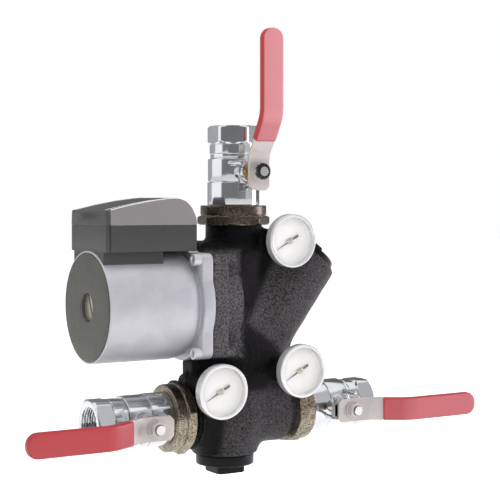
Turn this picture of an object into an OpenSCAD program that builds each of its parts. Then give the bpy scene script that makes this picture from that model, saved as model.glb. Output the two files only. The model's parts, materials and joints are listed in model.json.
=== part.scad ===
// Pump mixing group for a heating circuit: an iron housing with three valved connections,
// a wet-rotor circulator, a thermostat, a check flap and three dial thermometers.
// +Z is up, +X runs along the side connections and -Y is the front.
// The origin is the centre of the top valve's mouth, where the group hangs on its pipe.

/* [Connections] */
// Distance from the riser axis to the outer face of each side union nut
side_reach = 69; // [66:1:80]
// Height from the run axis to the outer face of the top union nut
top_reach = 182.5; // [178:0.5:195]
// Length of a valve from its union nut's face to its mouth
valve_len = 70; // [68:1:76]
// Radius of the pipe thread's bore in each valve mouth
port_r = 15.15; // [15:0.05:15.3]
// Depth of the pipe thread's bore
port_depth = 19; // [17:0.5:20]
// Radius of the clear waterway through each valve
way_r = 11.5; // [10:0.5:12]

/* [Housing] */
// Radius of the vertical neck under the top union
neck_r = 24.8; // [24.5:0.1:27]
// Radius of the left and right branches
branch_r = 28.3; // [27:0.1:30]
// Radius of the lower tube that holds the thermostat
tube_r = 28.5; // [27.5:0.1:30]
// Offset of the lower tube's axis to the left of the riser axis
tube_offset = 8.7; // [7:0.1:10]
// Height of the lower tube's rim under the run axis
tube_drop = 34; // [32:0.5:38]
// Radius of the slanted tube
slant_r = 30; // [29:0.1:31]
// Angle of the slanted tube from the vertical
slant_angle = 37; // [36:0.5:38]
// Height above the run axis at which the slanted axis crosses the riser axis
slant_z = 36; // [34:0.5:38]
// Length of the slanted tube from that crossing to its rim
slant_len = 124.5; // [120:0.5:128]

/* [Circulator] */
// Height of the pump axis above the run axis
pump_z = 98.1; // [97.5:0.1:99]
// Distance from the riser axis to the housing's pump seat
pump_seat = 44; // [43:0.5:46]
// Side of the square pump flange
flange_side = 88.8; // [88:0.2:92]
// Radius of the motor housing
motor_r = 47; // [46:0.1:47.5]
// Distance from the pump seat to the motor's rear face
motor_len = 96; // [95.5:0.5:100]
// Distance of each flange bolt from the pump axis, across and up
bolt_at = 39.2; // [38.9:0.1:39.4]

/* [Terminal box] */
// Half of the terminal box's width
box_half = 36; // [34:0.5:38]
// Height of the box floor above the pump axis
box_floor = 46.4; // [46:0.1:47.5]
// Height of the joint between box and lid above the pump axis
box_split = 68.5; // [67:0.1:70]
// Distance from the pump seat to the box's near end
box_near = 11.5; // [11.3:0.1:14]
// Distance from the pump seat to the box's rear end
box_rear = 95; // [92:0.5:95.5]

/* [Levers] */
// Distance from a lever's stem to its tip
lever_len = 120.5; // [115:0.5:125]
// Width of the lever's plate
lever_w = 20.5; // [19:0.5:22]
// Turn of each lever from open to closed, shown by the lugs that stop it
lever_turn = 90; // [88:1:92]

/* [Thermometers] */
// Outer radius of a thermometer case
gauge_r = 23; // [22:0.1:23.4]
// Depth of a thermometer case
gauge_depth = 9; // [8.5:0.5:10]
// Distance from the riser's plane to the front of the bezels
gauge_front = 57.5; // [56:0.5:60]
// Angle of a resting needle, clockwise from twelve o'clock
needle_rest = 241; // [225:1:250]

/* [Hidden] */
$fn = 96;

// Clearances
fit = 0.05;      // radial gap of a screwed or running fit
slip = 0.1;      // gap around a piece that is pushed into a pocket
overlap = 1;     // how far joined or cut shapes run into each other
through = 200;   // length of a cut that runs right through a piece

// Unions: distances are measured inwards from the nut's outer face
nut_front_r = 29.1;
nut_front_len = 9.1;
nut_rear_r = 32.1;
nut_len = 17;
nut_turn = 14.3;                              // how far the nuts' flats are turned
lip_len = 3;
lip_r = 20.2;
collar_len = 3;
gasket_len = 2;
male_r = 23.9;                                // 1 1/2 inch pipe thread of the housing
collar_r = male_r - 1.1;
male_face = lip_len + collar_len + gasket_len; // from the nut's face to the housing's end
branch_end = 24;                              // from the nut's face to the branch's shoulder

// Valves: distances are measured outwards from the nut's outer face
stem_at = 29.2;
body_lower_r = 22.9;
body_r = 22.4;
seam_at = 20.3;
seam_w = 0.9;
body_end = 41;
end_r = 20.9;
hex_at = 54;
hex_across = 41;
hex_r = hex_across / 2 / cos(30);
ball_r = 17.5;
cavity_r = ball_r + 0.3;
seat_reach = 14.5;                            // from the ball's centre to the back of each seat
spigot_r = 19.4;
stem_r = 4;
stem_foot_r = 5.5;
spigot_at = stem_at + stem_foot_r + 0.3;
slot_w = 6.2;                                 // slot in the ball
slot_at = 14.5;
foot_near = slot_at + slip;
foot_top = ball_r + 0.5;
boss_r = 10.5;
boss_top = 31;
gland_r = 9.2;
gland_top = 36;
gland_deep = 4.2;
packing_r = 7;
packing_len = 7;
plate_near = 42;                              // lever plate's face towards the valve
plate_t = 3;
grip_near = 61;
grip_t = 7.5;
grip_w = 20.2;
grip_from = 27;
grip_round = 9.2;                             // radius of the two corners of a grip's tip
grip_cap = 6;                                 // length of a grip beyond the end of its plate
bend_from = 13;
bend_to = 45;
plate_end = 16;
stop_r = 2;
stop_at = 15.07;
stop_gap = 31.2;                              // angle from a lug to the middle of the fold that meets it
nut_across = 13;
stud_out = 53;

// Plugs
plug_thread_r = 20.9;
plug_flange_r = 25.5;
plug_seal_len = 0.6;
plug_shank = 14;
plug_wall = 4;
bottom_flange_len = 9;
bottom_square = 26.8;
bottom_square_len = 7.5;
slant_flange_len = 6;
slant_square = 17;
slant_square_len = 8;

// Housing waterways
way_in_r = 18;
chamber_r = 19.5;
seat_hole_r = 13.5;
seat_z = 36;
mix_r = 14;
volute_r = 36;
volute_len = 19;
eye_r = 13.9;
pad_len = 15;                                 // thickness of the square pump pad
flange_corner = 6;
lug_r = 4.8;
bolt_r = 3;
bolt_deep = 17;
shoulder_z = top_reach - nut_len - 14.1;
riser_floor = 125;                            // height at which the riser's full bore begins
flap_seat_at = 50;
flap_hole_r = 9;
channel_r = 8;
channel_wall = 5;
link_x = side_reach - nut_len - channel_r - 6; // bore that links the slanted chamber and the branch
rise_r = 7;
rise_x = link_x - channel_r - 3.5 - rise_r;   // bore that rises to the flap's seat

// Thermometer places: [across, up] from the crossing of the run and riser axes
upper_gauge = [26.5, top_reach - 30.2];
left_gauge = [-41.8, 27.6];
right_gauge = [36.7, 40];
web_drop = 6.3;                               // from the upper thermometer's middle to the web's top
boss_front = 42;
gauge_boss_r = 9.5;
probe_r = 4.5;
probe_deep = 16;
dial_depth = 6;                               // from the bezel's front to the dial's face
pin_r = 0.6;

top_mouth = top_reach + valve_len;
ORIGIN_DROP = -top_mouth;

// ---------- placing ----------

// Moves what is drawn around the crossing of the run and riser axes into the part's frame
module hang() {
    translate([0, 0, ORIGIN_DROP]) children();
}

// Places what is drawn along +Z, from a union nut's outer face, at one of the three connections
module at_top() {
    hang() translate([0, 0, top_reach]) children();
}

module at_left() {
    hang() translate([-side_reach, 0, 0]) rotate([0, -90, 0]) children();
}

module at_right() {
    hang() translate([side_reach, 0, 0]) rotate([0, 90, 0]) children();
}

module at_each_union() {
    at_top() children();
    at_left() children();
    at_right() children();
}

// Places what is drawn along +Z from the pump seat; local +X is up
module at_pump() {
    hang() translate([-pump_seat, 0, pump_z]) rotate([0, -90, 0]) children();
}

// Places what is drawn along +Z on the slanted tube's axis
module at_slant() {
    translate([0, 0, slant_z]) rotate([0, slant_angle, 0]) children();
}

// Places what is drawn in a plug's own frame, its flange outwards along +Z, at the bottom rim
module at_bottom_rim() {
    hang() translate([-tube_offset, 0, -tube_drop]) mirror([0, 0, 1]) children();
}

module at_slant_rim() {
    hang() at_slant() translate([0, 0, slant_len]) children();
}

// Turns a piece drawn along +Z so that it points to the front, along -Y
module facing_front() {
    rotate([90, 0, 0]) children();
}

module ring(outer, inner, length) {
    difference() {
        cylinder(r = outer, h = length);
        translate([0, 0, -overlap]) cylinder(r = inner, h = length + 2 * overlap);
    }
}

module hexagon(across, length) {
    cylinder(r = across / 2 / cos(30), h = length, $fn = 6);
}

module rounded_square(side, corner, length) {
    flat = side - 2 * corner;
    translate([-side / 2, -flat / 2, 0]) cube([side, flat, length]);
    translate([-flat / 2, -side / 2, 0]) cube([flat, side, length]);
    for (x = [-1, 1], y = [-1, 1])
        translate([x * flat / 2, y * flat / 2, 0]) cylinder(r = corner, h = length);
}

// ---------- housing ----------

module branch_outside(sign) {
    rotate([0, sign * 90, 0]) {
        cylinder(r = branch_r, h = side_reach - branch_end);
        cylinder(r = male_r, h = side_reach - male_face);
    }
}

module pump_block() {
    translate([-pump_seat, 0, pump_z]) rotate([0, 90, 0]) {
        rounded_square(flange_side - 0.6, flange_corner, pad_len);
        for (x = [-1, 1], y = [-1, 1])
            translate([x * bolt_at, y * bolt_at, 0]) cylinder(r = lug_r, h = bolt_deep + 5);
        cylinder(r = volute_r + 7, h = volute_len + 11);
        cylinder(r = volute_r - 2, h = volute_len + 17);
    }
    // Shoulder over the pump seat
    translate([-pump_seat + 1, -neck_r + 1, pump_z])
        cube([pump_seat, 2 * neck_r - 2, shoulder_z - pump_z]);
}

module channel(radius) {
    start = [10 - pump_seat, 29, pump_z - 15];
    finish = [side_reach - nut_len - channel_r - channel_wall - 1, 29, 6];
    run = finish - start;
    translate(start) rotate([0, atan2(run[0], run[2]), 0]) cylinder(r = radius, h = norm(run));
    translate([finish[0], 0, finish[2] - 4]) rotate([-90, 0, 0])
        cylinder(r = radius, h = finish[1]);
}

module gauge_boss(place) {
    translate([place[0], -8, place[1]]) facing_front()
        cylinder(r = gauge_boss_r, h = boss_front - 8);
}

module housing_outside() {
    translate([-tube_offset, 0, -tube_drop]) cylinder(r = tube_r, h = tube_drop + 95);
    translate([0, 0, 60]) cylinder(r = neck_r, h = top_reach - branch_end + 7 - 60);
    translate([0, 0, 60]) cylinder(r = male_r, h = top_reach - male_face - 60);
    branch_outside(-1);
    branch_outside(1);
    pump_block();
    at_slant() cylinder(r = slant_r, h = slant_len);
    channel(channel_r + channel_wall);
    // Web from the neck to the slanted tube
    translate([0, -12, 95]) cube([48, 24, upper_gauge[1] - web_drop - 95]);
    // Webs that carry the left and right thermometers, and the lug over the left union
    translate([-46, -10, 10]) cube([36, 20, pump_z - flange_round - 10.8]);
    translate([1 - pump_seat, -14, 10]) cube([pump_seat - 11, 28, 55]);
    translate([nut_len + 1 - side_reach, 0, branch_r - 1]) rotate([0, 90, 0]) cylinder(r = 10, h = 12);
    translate([20, -14, 10]) cube([side_reach - nut_len - 22, 28, 52]);
    translate([upper_gauge[0] - 8, -9, upper_gauge[1] - 30]) cube([8, 18, 28]);
    for (place = [upper_gauge, left_gauge, right_gauge]) gauge_boss(place);
}

module housing_waterways() {
    // Riser, mixing passage and pump eye
    translate([0, 0, riser_floor]) cylinder(r = way_in_r, h = top_reach);
    translate([-tube_offset, 0, seat_z + 5]) cylinder(r = mix_r, h = riser_floor - seat_z);
    translate([-pump_seat, 0, pump_z]) rotate([0, 90, 0]) {
        translate([0, 0, -overlap]) cylinder(r = volute_r, h = volute_len + overlap);
        cylinder(r = eye_r, h = pump_seat - tube_offset);
    }
    // Thermostat chamber and its seat
    translate([-tube_offset, 0, -tube_drop - overlap])
        cylinder(r = chamber_r, h = seat_z + tube_drop + overlap);
    translate([-tube_offset, 0, -tube_drop - overlap])
        cylinder(r = plug_thread_r + fit, h = plug_shank + overlap);
    translate([-tube_offset, 0, 0]) cylinder(r = seat_hole_r, h = 50);
    // Left and right branches
    rotate([0, -90, 0]) cylinder(r = way_in_r, h = side_reach);
    translate([link_x - channel_r + 2, 0, 0]) rotate([0, 90, 0])
        cylinder(r = way_in_r, h = side_reach);
    // Slanted chamber, its flap seat and the ways in and out
    at_slant() {
        translate([0, 0, flap_seat_at]) cylinder(r = chamber_r, h = slant_len);
        translate([0, 0, slant_len - plug_shank]) cylinder(r = plug_thread_r + fit, h = slant_len);
        translate([0, 0, 27]) cylinder(r = flap_hole_r, h = 30);
    }
    rotate([0, 90, 0]) cylinder(r = rise_r - 0.5, h = rise_x);
    translate([rise_x, 0, -rise_r / 2]) cylinder(r = rise_r, h = slant_z + 26);
    translate([link_x, 0, 0]) cylinder(r = channel_r - 0.7, h = slant_z + 49);
    channel(channel_r);
}

module housing_sockets() {
    // Thermometer pockets
    for (place = [upper_gauge, left_gauge, right_gauge])
        translate([place[0], -probe_deep, place[1]]) facing_front()
            cylinder(r = probe_r + fit, h = boss_front);
    // Flange bolts
    translate([-pump_seat, 0, pump_z]) rotate([0, 90, 0])
        for (x = [-1, 1], y = [-1, 1])
            translate([x * bolt_at, y * bolt_at, -overlap])
                cylinder(r = bolt_r + fit, h = bolt_deep + overlap);
    // Pin of the check flap
    at_slant() translate([flap_hinge_x, 0, flap_seat_at + flap_hinge_z]) rotate([90, 0, 0])
        cylinder(r = flap_pin_r + fit, h = flap_pin_len + 2 * slip, center = true);
}

module casting() {
    color([0.1, 0.1, 0.1]) hang() difference() {
        housing_outside();
        housing_waterways();
        housing_sockets();
    }
}

// ---------- plugs ----------

module plug(flange_len, square, square_len) {
    difference() {
        union() {
            translate([0, 0, plug_seal_len]) cylinder(r = plug_flange_r, h = flange_len);
            translate([0, 0, -plug_shank]) cylinder(r = plug_thread_r, h = plug_shank + overlap);
            translate([-square / 2, -square / 2, plug_seal_len])
                cube([square, square, flange_len + square_len]);
        }
        translate([0, 0, -plug_shank - overlap])
            cylinder(r = plug_thread_r - plug_wall, h = plug_shank - 3);
    }
}

module bottom_plug() {
    color([0.08, 0.08, 0.08]) at_bottom_rim()
        plug(bottom_flange_len, bottom_square, bottom_square_len);
}

module slant_plug() {
    color([0.08, 0.08, 0.08]) at_slant_rim()
        plug(slant_flange_len, slant_square, slant_square_len);
}

module plug_seals() {
    color([0.15, 0.15, 0.15]) {
        at_bottom_rim() ring(plug_flange_r - 0.5, plug_thread_r + fit, plug_seal_len);
        at_slant_rim() ring(plug_flange_r - 0.5, plug_thread_r + fit, plug_seal_len);
    }
}

// ---------- thermostat: built around its own axis, heights from the run axis ----------

guide_base = -tube_drop + plug_shank;
capsule_r = 8;
poppet_t = 3;
spring_r = 13;
spring_wire = 1.1;
spring_turns = 5;
frame_r = chamber_r - slip;
seat_t = 2.5;
seat_in_r = seat_hole_r - 0.3;
poppet_r = 16;
poppet_top = seat_z - seat_t - fit;
piston_r = 2.5;

module at_thermostat() {
    hang() translate([-tube_offset, 0, 0]) children();
}

module thermostat_frame() {
    color("goldenrod") at_thermostat() difference() {
        union() {
            // Foot on the plug, with the capsule's guide tube
            translate([0, 0, guide_base]) cylinder(r = frame_r, h = 3);
            translate([0, 0, guide_base]) cylinder(r = capsule_r + 2.5, h = 16);
            // Legs beside the poppet, and the seat that it closes
            intersection() {
                translate([0, 0, guide_base]) ring(frame_r, poppet_r + 1, seat_z - guide_base);
                translate([0, 0, seat_z / 2]) cube([50, 8, 80], center = true);
            }
            translate([0, 0, seat_z - seat_t]) ring(frame_r, seat_in_r, seat_t);
            // Arch above the seat, with the piston that the capsule pushes against
            intersection() {
                translate([0, 0, seat_z - seat_t]) ring(seat_in_r, seat_in_r - 2, 12);
                translate([0, 0, seat_z]) cube([50, 6, 80], center = true);
            }
            intersection() {
                translate([0, 0, seat_z - seat_t + 10]) cylinder(r = seat_in_r, h = 3);
                translate([0, 0, seat_z]) cube([50, 6, 80], center = true);
            }
            translate([0, 0, seat_z - 16]) cylinder(r = piston_r, h = 26);
        }
        translate([0, 0, guide_base - overlap]) cylinder(r = capsule_r + fit, h = 20);
        for (turn = [45 : 90 : 315])
            rotate([0, 0, turn]) translate([15, 0, guide_base - overlap]) cylinder(r = 2.8, h = 5);
    }
}

module thermostat_poppet() {
    color("gold") at_thermostat() difference() {
        union() {
            translate([0, 0, poppet_top - poppet_t]) cylinder(r = poppet_r, h = poppet_t);
            translate([0, 0, guide_base + 10])
                cylinder(r = capsule_r, h = poppet_top - guide_base - 10);
        }
        translate([0, 0, seat_z - 28]) cylinder(r = piston_r + fit, h = 40);
    }
}

// One closed coil of round wire, swept along a helix
module coil(radius, wire, height, turns) {
    sides = 8;
    steps = 16 * turns;
    points = [for (i = [0 : steps], k = [0 : sides - 1])
        let (a = 360 * turns * i / steps, b = 360 * k / sides)
            [(radius + wire * cos(b)) * cos(a), (radius + wire * cos(b)) * sin(a),
                height * i / steps + wire * sin(b)]];
    around = [for (i = [0 : steps - 1], k = [0 : sides - 1])
        let (next = (k + 1) % sides)
            [i * sides + k, (i + 1) * sides + k, (i + 1) * sides + next, i * sides + next]];
    first = [for (k = [0 : sides - 1]) k];
    last = [for (k = [sides - 1 : -1 : 0]) steps * sides + k];
    polyhedron(points, concat(around, [first, last]));
}

module thermostat_spring() {
    spring_low = guide_base + 3;
    spring_high = poppet_top - poppet_t;
    color("silver") at_thermostat() translate([0, 0, spring_low + spring_wire])
        coil(spring_r, spring_wire, spring_high - spring_low - 2 * spring_wire, spring_turns);
}

// ---------- check flap: built on the slanted axis, its seat at z = 0 ----------

flap_hinge_x = -14.5;
flap_hinge_z = 4.2;
flap_pin_r = 1.5;
flap_pin_len = 27;
flap_r = 13;

module at_flap() {
    hang() at_slant() translate([0, 0, flap_seat_at]) children();
}

module check_flap() {
    color("goldenrod") at_flap() difference() {
        union() {
            translate([0, 0, fit]) cylinder(r = flap_r, h = 2.6);
            translate([flap_hinge_x, -5, 0.2]) cube([8, 10, 3]);
            translate([flap_hinge_x, 0, flap_hinge_z]) rotate([90, 0, 0])
                cylinder(r = 2 * flap_pin_r, h = 12, center = true);
        }
        translate([flap_hinge_x, 0, flap_hinge_z]) rotate([90, 0, 0])
            cylinder(r = flap_pin_r + fit, h = 2 * flap_pin_len, center = true);
    }
}

module flap_pin() {
    color("silver") at_flap() translate([flap_hinge_x, 0, flap_hinge_z]) rotate([90, 0, 0])
        cylinder(r = flap_pin_r, h = flap_pin_len, center = true);
}

// ---------- circulator: built along +Z from the pump seat ----------

gasket_t = 0.8;
flange_end = 11;
flange_round = 49;                            // radius of the flange's round part
shell_neck_r = 42.5;
shell_round = 13;
cavity_end = motor_len - 9;
cavity_in_r = 40;
plate_out_r = cavity_in_r - slip;
disc_r = motor_r - 1.6;
shaft_r = 4;
bush_r = 7.5;
plate_len = 3.4;
can_r = 23;
can_wall = 0.5;
can_end = cavity_end;
bush_len = 8;
rear_bush = can_end - bush_len - 6;
stator_from = 30;
winding_len = 12;
winding_gap = 6;                              // from the rear end winding to the motor's end wall
stator_len = can_end - stator_from - winding_len - winding_gap;
core_from = 16;
core_len = rear_bush - core_from - 6;
shaft_end = rear_bush + bush_len;
shaft_out = 17;
impeller_r = 31;
impeller_at = -3;                             // rear face of the impeller's back disc
impeller_disc = 2;                            // thickness of both its discs
impeller_gap = 8;                             // between the discs
impeller_eye = 12;
impeller_hub = 7;
blade_arc_r = 20;
blade_t = 1.8;
vent_r = 11.8;
vent_thread_r = 7;
vent_face = motor_len - 3.2;                  // the vent screw lies in a well, 4 mm under the rear disc
vent_seat = vent_face - 2.3;
wires_at = 60;
wires_r = 5;
disc_t = 3;

module motor_outside() {
    arc = [for (a = [0 : 10 : 90])
        [shell_neck_r + (motor_r - shell_neck_r) * sin(a), flange_end + 2 + shell_round * (1 - cos(a))]];
    rotate_extrude() polygon(concat([[0, flange_end - 3], [shell_neck_r, flange_end - 3]], arc,
        [[motor_r, motor_len - 1.5], [motor_r - 1.2, motor_len], [0, motor_len]]));
}

module motor_housing() {
    color("silver") at_pump() difference() {
        union() {
            translate([0, 0, gasket_t])
                rounded_square(flange_side, flange_corner, flange_end - gasket_t);
            translate([0, 0, gasket_t]) cylinder(r = flange_round, h = flange_end - gasket_t);
            motor_outside();
        }
        translate([0, 0, -overlap]) cylinder(r = cavity_in_r, h = cavity_end + overlap);
        translate([0, 0, motor_len - disc_t]) cylinder(r = disc_r + slip, h = disc_t + overlap);
        cylinder(r = vent_thread_r + fit, h = motor_len);
        translate([0, 0, vent_seat]) cylinder(r = vent_r + slip, h = motor_len);
        for (x = [-1, 1], y = [-1, 1])
            translate([x * bolt_at, y * bolt_at, -overlap]) cylinder(r = bolt_r + 0.3, h = 20);
        // Hole for the wires
        translate([0, 0, wires_at]) rotate([0, 90, 0]) cylinder(r = wires_r, h = motor_r + overlap);
    }
}

module end_disc() {
    color([0.36, 0.36, 0.33]) at_pump() translate([0, 0, motor_len - disc_t])
        ring(disc_r, vent_r + 0.5, disc_t + 0.8);
}

module vent_screw() {
    color("silver") at_pump() difference() {
        union() {
            translate([0, 0, can_end + 0.3]) cylinder(r = vent_thread_r, h = vent_face - can_end - overlap);
            translate([0, 0, vent_seat]) cylinder(r = vent_r, h = vent_face - vent_seat);
        }
        translate([0, 0, vent_face]) rotate([0, 0, 25]) cube([2 * vent_r + 4, 2.4, 3], center = true);
    }
}

module stator() {
    color("peru") at_pump() {
        translate([0, 0, stator_from]) ring(cavity_in_r - fit, can_r + can_wall + slip, stator_len);
        // End windings
        for (z = [stator_from - winding_len, stator_from + stator_len - overlap])
            translate([0, 0, z])
                ring(cavity_in_r - 2, can_r + can_wall + 1, winding_len + overlap);
    }
}

module rotor_can() {
    can_from = gasket_t + plate_len;
    color("lightgray") at_pump() difference() {
        union() {
            translate([0, 0, can_from]) ring(can_r + can_wall, can_r, can_end - can_from);
            translate([0, 0, can_from]) ring(plate_out_r - 1, can_r, 1.8);
            translate([0, 0, can_end - 2]) cylinder(r = can_r + can_wall, h = 2);
            translate([0, 0, rear_bush]) cylinder(r = bush_r + 2, h = can_end - rear_bush);
        }
        translate([0, 0, rear_bush - overlap])
            cylinder(r = bush_r, h = can_end - rear_bush - 1 + overlap);
    }
}

module rotor_core() {
    color("dimgray") at_pump() translate([0, 0, core_from])
        ring(can_r - 1.2, shaft_r, core_len);
}

module rotor_shaft() {
    color("whitesmoke") at_pump() translate([0, 0, -shaft_out])
        cylinder(r = shaft_r, h = shaft_out + shaft_end);
}

module shaft_bearings() {
    color("gray") at_pump() {
        translate([0, 0, 1]) ring(bush_r - fit, shaft_r + fit, bush_len);
        translate([0, 0, rear_bush]) ring(bush_r - fit, shaft_r + fit, bush_len);
    }
}

module bearing_plate() {
    color("lightgray") at_pump() difference() {
        union() {
            translate([0, 0, gasket_t]) cylinder(r = plate_out_r, h = plate_len);
            translate([0, 0, gasket_t]) cylinder(r = bush_r + 2.5, h = bush_len);
        }
        translate([0, 0, -overlap]) cylinder(r = bush_r, h = 20);
    }
}

// An arc that leaves the eye and trails to the rim
module impeller_blade() {
    intersection() {
        translate([9, 14, 0]) ring(blade_arc_r, blade_arc_r - blade_t, impeller_gap + overlap);
        cube([impeller_r, impeller_r, impeller_gap + overlap]);
    }
}

module impeller() {
    back = impeller_at - impeller_disc;
    front = back - impeller_gap;
    color("ivory") at_pump() difference() {
        union() {
            translate([0, 0, back]) cylinder(r = impeller_r, h = impeller_disc);
            translate([0, 0, front - impeller_disc]) ring(impeller_r, impeller_eye, impeller_disc);
            // Eye ring that runs in the housing's bore
            translate([0, 0, front - impeller_disc - 5])
                ring(eye_r - 0.5, impeller_eye, 5 + overlap);
            translate([0, 0, front - impeller_disc])
                cylinder(r = impeller_hub, h = impeller_gap + 2 * impeller_disc);
            intersection() {
                translate([0, 0, front - overlap / 2]) for (turn = [0 : 60 : 300])
                    rotate([0, 0, turn]) impeller_blade();
                translate([0, 0, front - overlap])
                    cylinder(r = impeller_r - 0.5, h = impeller_gap + 2 * overlap);
            }
        }
        translate([0, 0, -through / 2]) cylinder(r = shaft_r, h = through);
    }
}

module pump_gasket() {
    color("darkgreen") at_pump() ring(shell_neck_r, volute_r + 0.6, gasket_t);
}

module pump_bolts() {
    color("silver") at_pump() for (x = [-1, 1], y = [-1, 1])
        translate([x * bolt_at, y * bolt_at, 0]) difference() {
            union() {
                translate([0, 0, flange_end]) cylinder(r = 5, h = 7);
                translate([0, 0, 2 - bolt_deep]) cylinder(r = bolt_r, h = bolt_deep + flange_end);
            }
            translate([0, 0, flange_end + 3.5]) hexagon(5, 5);
        }
}

// ---------- terminal box: drawn as a side profile, then given its width ----------

wall = 2.2;
lid_arch = box_split + 22.9;
screw_at = [54, 12];                          // lid screw: distance from the pump seat, and across
screw_r = 1.5;
screw_seat = lid_arch - 6.8;
gland_at = [box_rear - 24, box_floor + 10];   // cable gland: distance from the pump seat, and height
gland_screw_r = 7.6;
saddle_from = 41;
saddle_half = 30;
saddle_deep = 13;
block_from = 13;                              // from the box's near end to the terminal block
block_size = [16, 44, 14];
terminals = 4;
terminal_gap = 11;

// Height of the lid's top above the pump axis at a distance from the pump seat
lid_points = [[box_near, box_split], [box_near, box_split + 3], [box_near + 1.5, box_split + 9],
    [box_near + 5, lid_arch - 7], [box_near + 10.5, lid_arch - 2], [box_near + 18, lid_arch],
    [box_near + 26, lid_arch - 0.5], [box_near + 42, lid_arch - 2.4], [box_near + 60, lid_arch - 5.6],
    [box_near + 71, lid_arch - 8], [box_rear, lid_arch - 10.9], [box_rear, box_split]];

// Turns a profile of [distance, height] points into a slab of a given half width
module box_slab(half) {
    rotate([90, 0, 0]) translate([0, 0, -half]) linear_extrude(2 * half) children();
}

// Places the box's profile: distances run to the left, heights from the pump axis
module at_box() {
    hang() translate([-pump_seat, 0, pump_z]) mirror([1, 0, 0]) children();
}

module terminal_box() {
    color([0.22, 0.22, 0.23]) at_box() difference() {
        union() {
            translate([box_near, -box_half, box_floor])
                cube([box_rear - box_near, 2 * box_half, box_split - box_floor]);
            // Saddle on the motor
            translate([saddle_from, -saddle_half, box_floor - saddle_deep])
                cube([box_rear - saddle_from, 2 * saddle_half, saddle_deep + overlap]);
        }
        translate([box_near + wall, -box_half + wall, box_floor + wall])
            cube([box_rear - box_near - 2 * wall, 2 * (box_half - wall), box_split]);
        rotate([0, 90, 0]) cylinder(r = motor_r + slip, h = box_rear);
        translate([wires_at, 0, 0]) cylinder(r = wires_r, h = box_split);
        translate([gland_at[0], box_half - 5, gland_at[1]]) rotate([-90, 0, 0])
            cylinder(r = gland_screw_r + fit, h = 10);
    }
    // Post for the lid's screw
    color([0.22, 0.22, 0.23]) at_box()
        translate([screw_at[0], screw_at[1], box_floor + wall - overlap]) difference() {
            cylinder(r = 4, h = box_split - box_floor - wall + overlap);
            translate([0, 0, 6]) cylinder(r = screw_r + fit, h = 30);
        }
}

module terminal_lid() {
    color([0.3, 0.3, 0.31]) at_box() difference() {
        box_slab(box_half) polygon(lid_points);
        box_slab(box_half - wall) polygon([for (p = lid_points)
            [max(box_near + wall, min(box_rear - wall, p[0])), p[1] - (p[1] > box_split + 1 ? wall : 2)]]);
        translate([screw_at[0], screw_at[1], 0]) cylinder(r = screw_r + 0.3, h = lid_arch);
        translate([screw_at[0], screw_at[1], screw_seat]) cylinder(r = 2 * screw_r + 0.6, h = 20);
    }
    // Post that the screw's head pulls down
    color([0.3, 0.3, 0.31]) at_box() translate([screw_at[0], screw_at[1], box_split]) difference() {
        cylinder(r = 5, h = lid_arch - box_split - 5);
        translate([0, 0, -overlap]) cylinder(r = screw_r + 0.3, h = 30);
        translate([0, 0, screw_seat - box_split]) cylinder(r = 2 * screw_r + 0.6, h = 20);
    }
}

module lid_screw() {
    color("silver") at_box() translate([screw_at[0], screw_at[1], 0]) difference() {
        union() {
            translate([0, 0, screw_seat]) cylinder(r = 2 * screw_r + 0.2, h = 2.4);
            translate([0, 0, box_split - 10]) cylinder(r = screw_r, h = screw_seat + 11 - box_split);
        }
        translate([0, 0, screw_seat + 2.5]) cube([8, 0.9, 2.4], center = true);
    }
}

module terminal_block() {
    color("ivory") at_box()
        translate([box_near + block_from, -block_size[1] / 2, box_floor + wall]) difference() {
            cube(block_size);
            for (i = [0 : terminals - 1]) translate([0, terminal_gap * (i + 0.5), 0]) {
                translate([block_size[0] / 2, 0, block_size[2] / 2]) cylinder(r = 3, h = 10);
                translate([-overlap, 0, 4]) rotate([0, 90, 0])
                    cylinder(r = 2, h = block_size[0] + 2 * overlap);
            }
        }
}

module cable_gland() {
    color([0.12, 0.12, 0.12]) at_box() translate([gland_at[0], box_half, gland_at[1]]) rotate([-90, 0, 0])
        difference() {
            union() {
                translate([0, 0, -4]) cylinder(r = gland_screw_r, h = 6);
                hexagon(19, 6);
                translate([0, 0, 5]) cylinder(r = 8.8, h = 10);
                translate([0, 0, 14]) cylinder(r = 7, h = 4);
            }
            translate([0, 0, -10]) cylinder(r = 4, h = 40);
        }
}

// ---------- unions ----------

module union_nut() {
    difference() {
        union() {
            translate([0, 0, -nut_front_len]) cylinder(r = nut_front_r, h = nut_front_len);
            // Eight flats for the spanner, their corners turned down
            intersection() {
                translate([0, 0, -nut_len]) rotate([0, 0, nut_turn])
                    cylinder(r = nut_rear_r, h = nut_len - nut_front_len, $fn = 8);
                rotate_extrude() polygon([[0, -nut_len], [nut_rear_r - 1.6, -nut_len],
                    [nut_rear_r, -nut_len + 1], [nut_rear_r, -nut_front_len - 1],
                    [nut_rear_r - 1.6, -nut_front_len], [0, -nut_front_len]]);
            }
        }
        translate([0, 0, -nut_len - overlap])
            cylinder(r = male_r + fit, h = nut_len - lip_len + overlap);
        translate([0, 0, -lip_len - overlap]) cylinder(r = lip_r, h = lip_len + 2 * overlap);
    }
}

module union_nuts() {
    color([0.69, 0.65, 0.57]) at_each_union() union_nut();
}

module union_gaskets() {
    color([0.3, 0.3, 0.3]) at_each_union() translate([0, 0, -male_face])
        ring(collar_r, way_in_r, gasket_len);
}

// ---------- valves: built along +Z from the nut's outer face ----------

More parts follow.
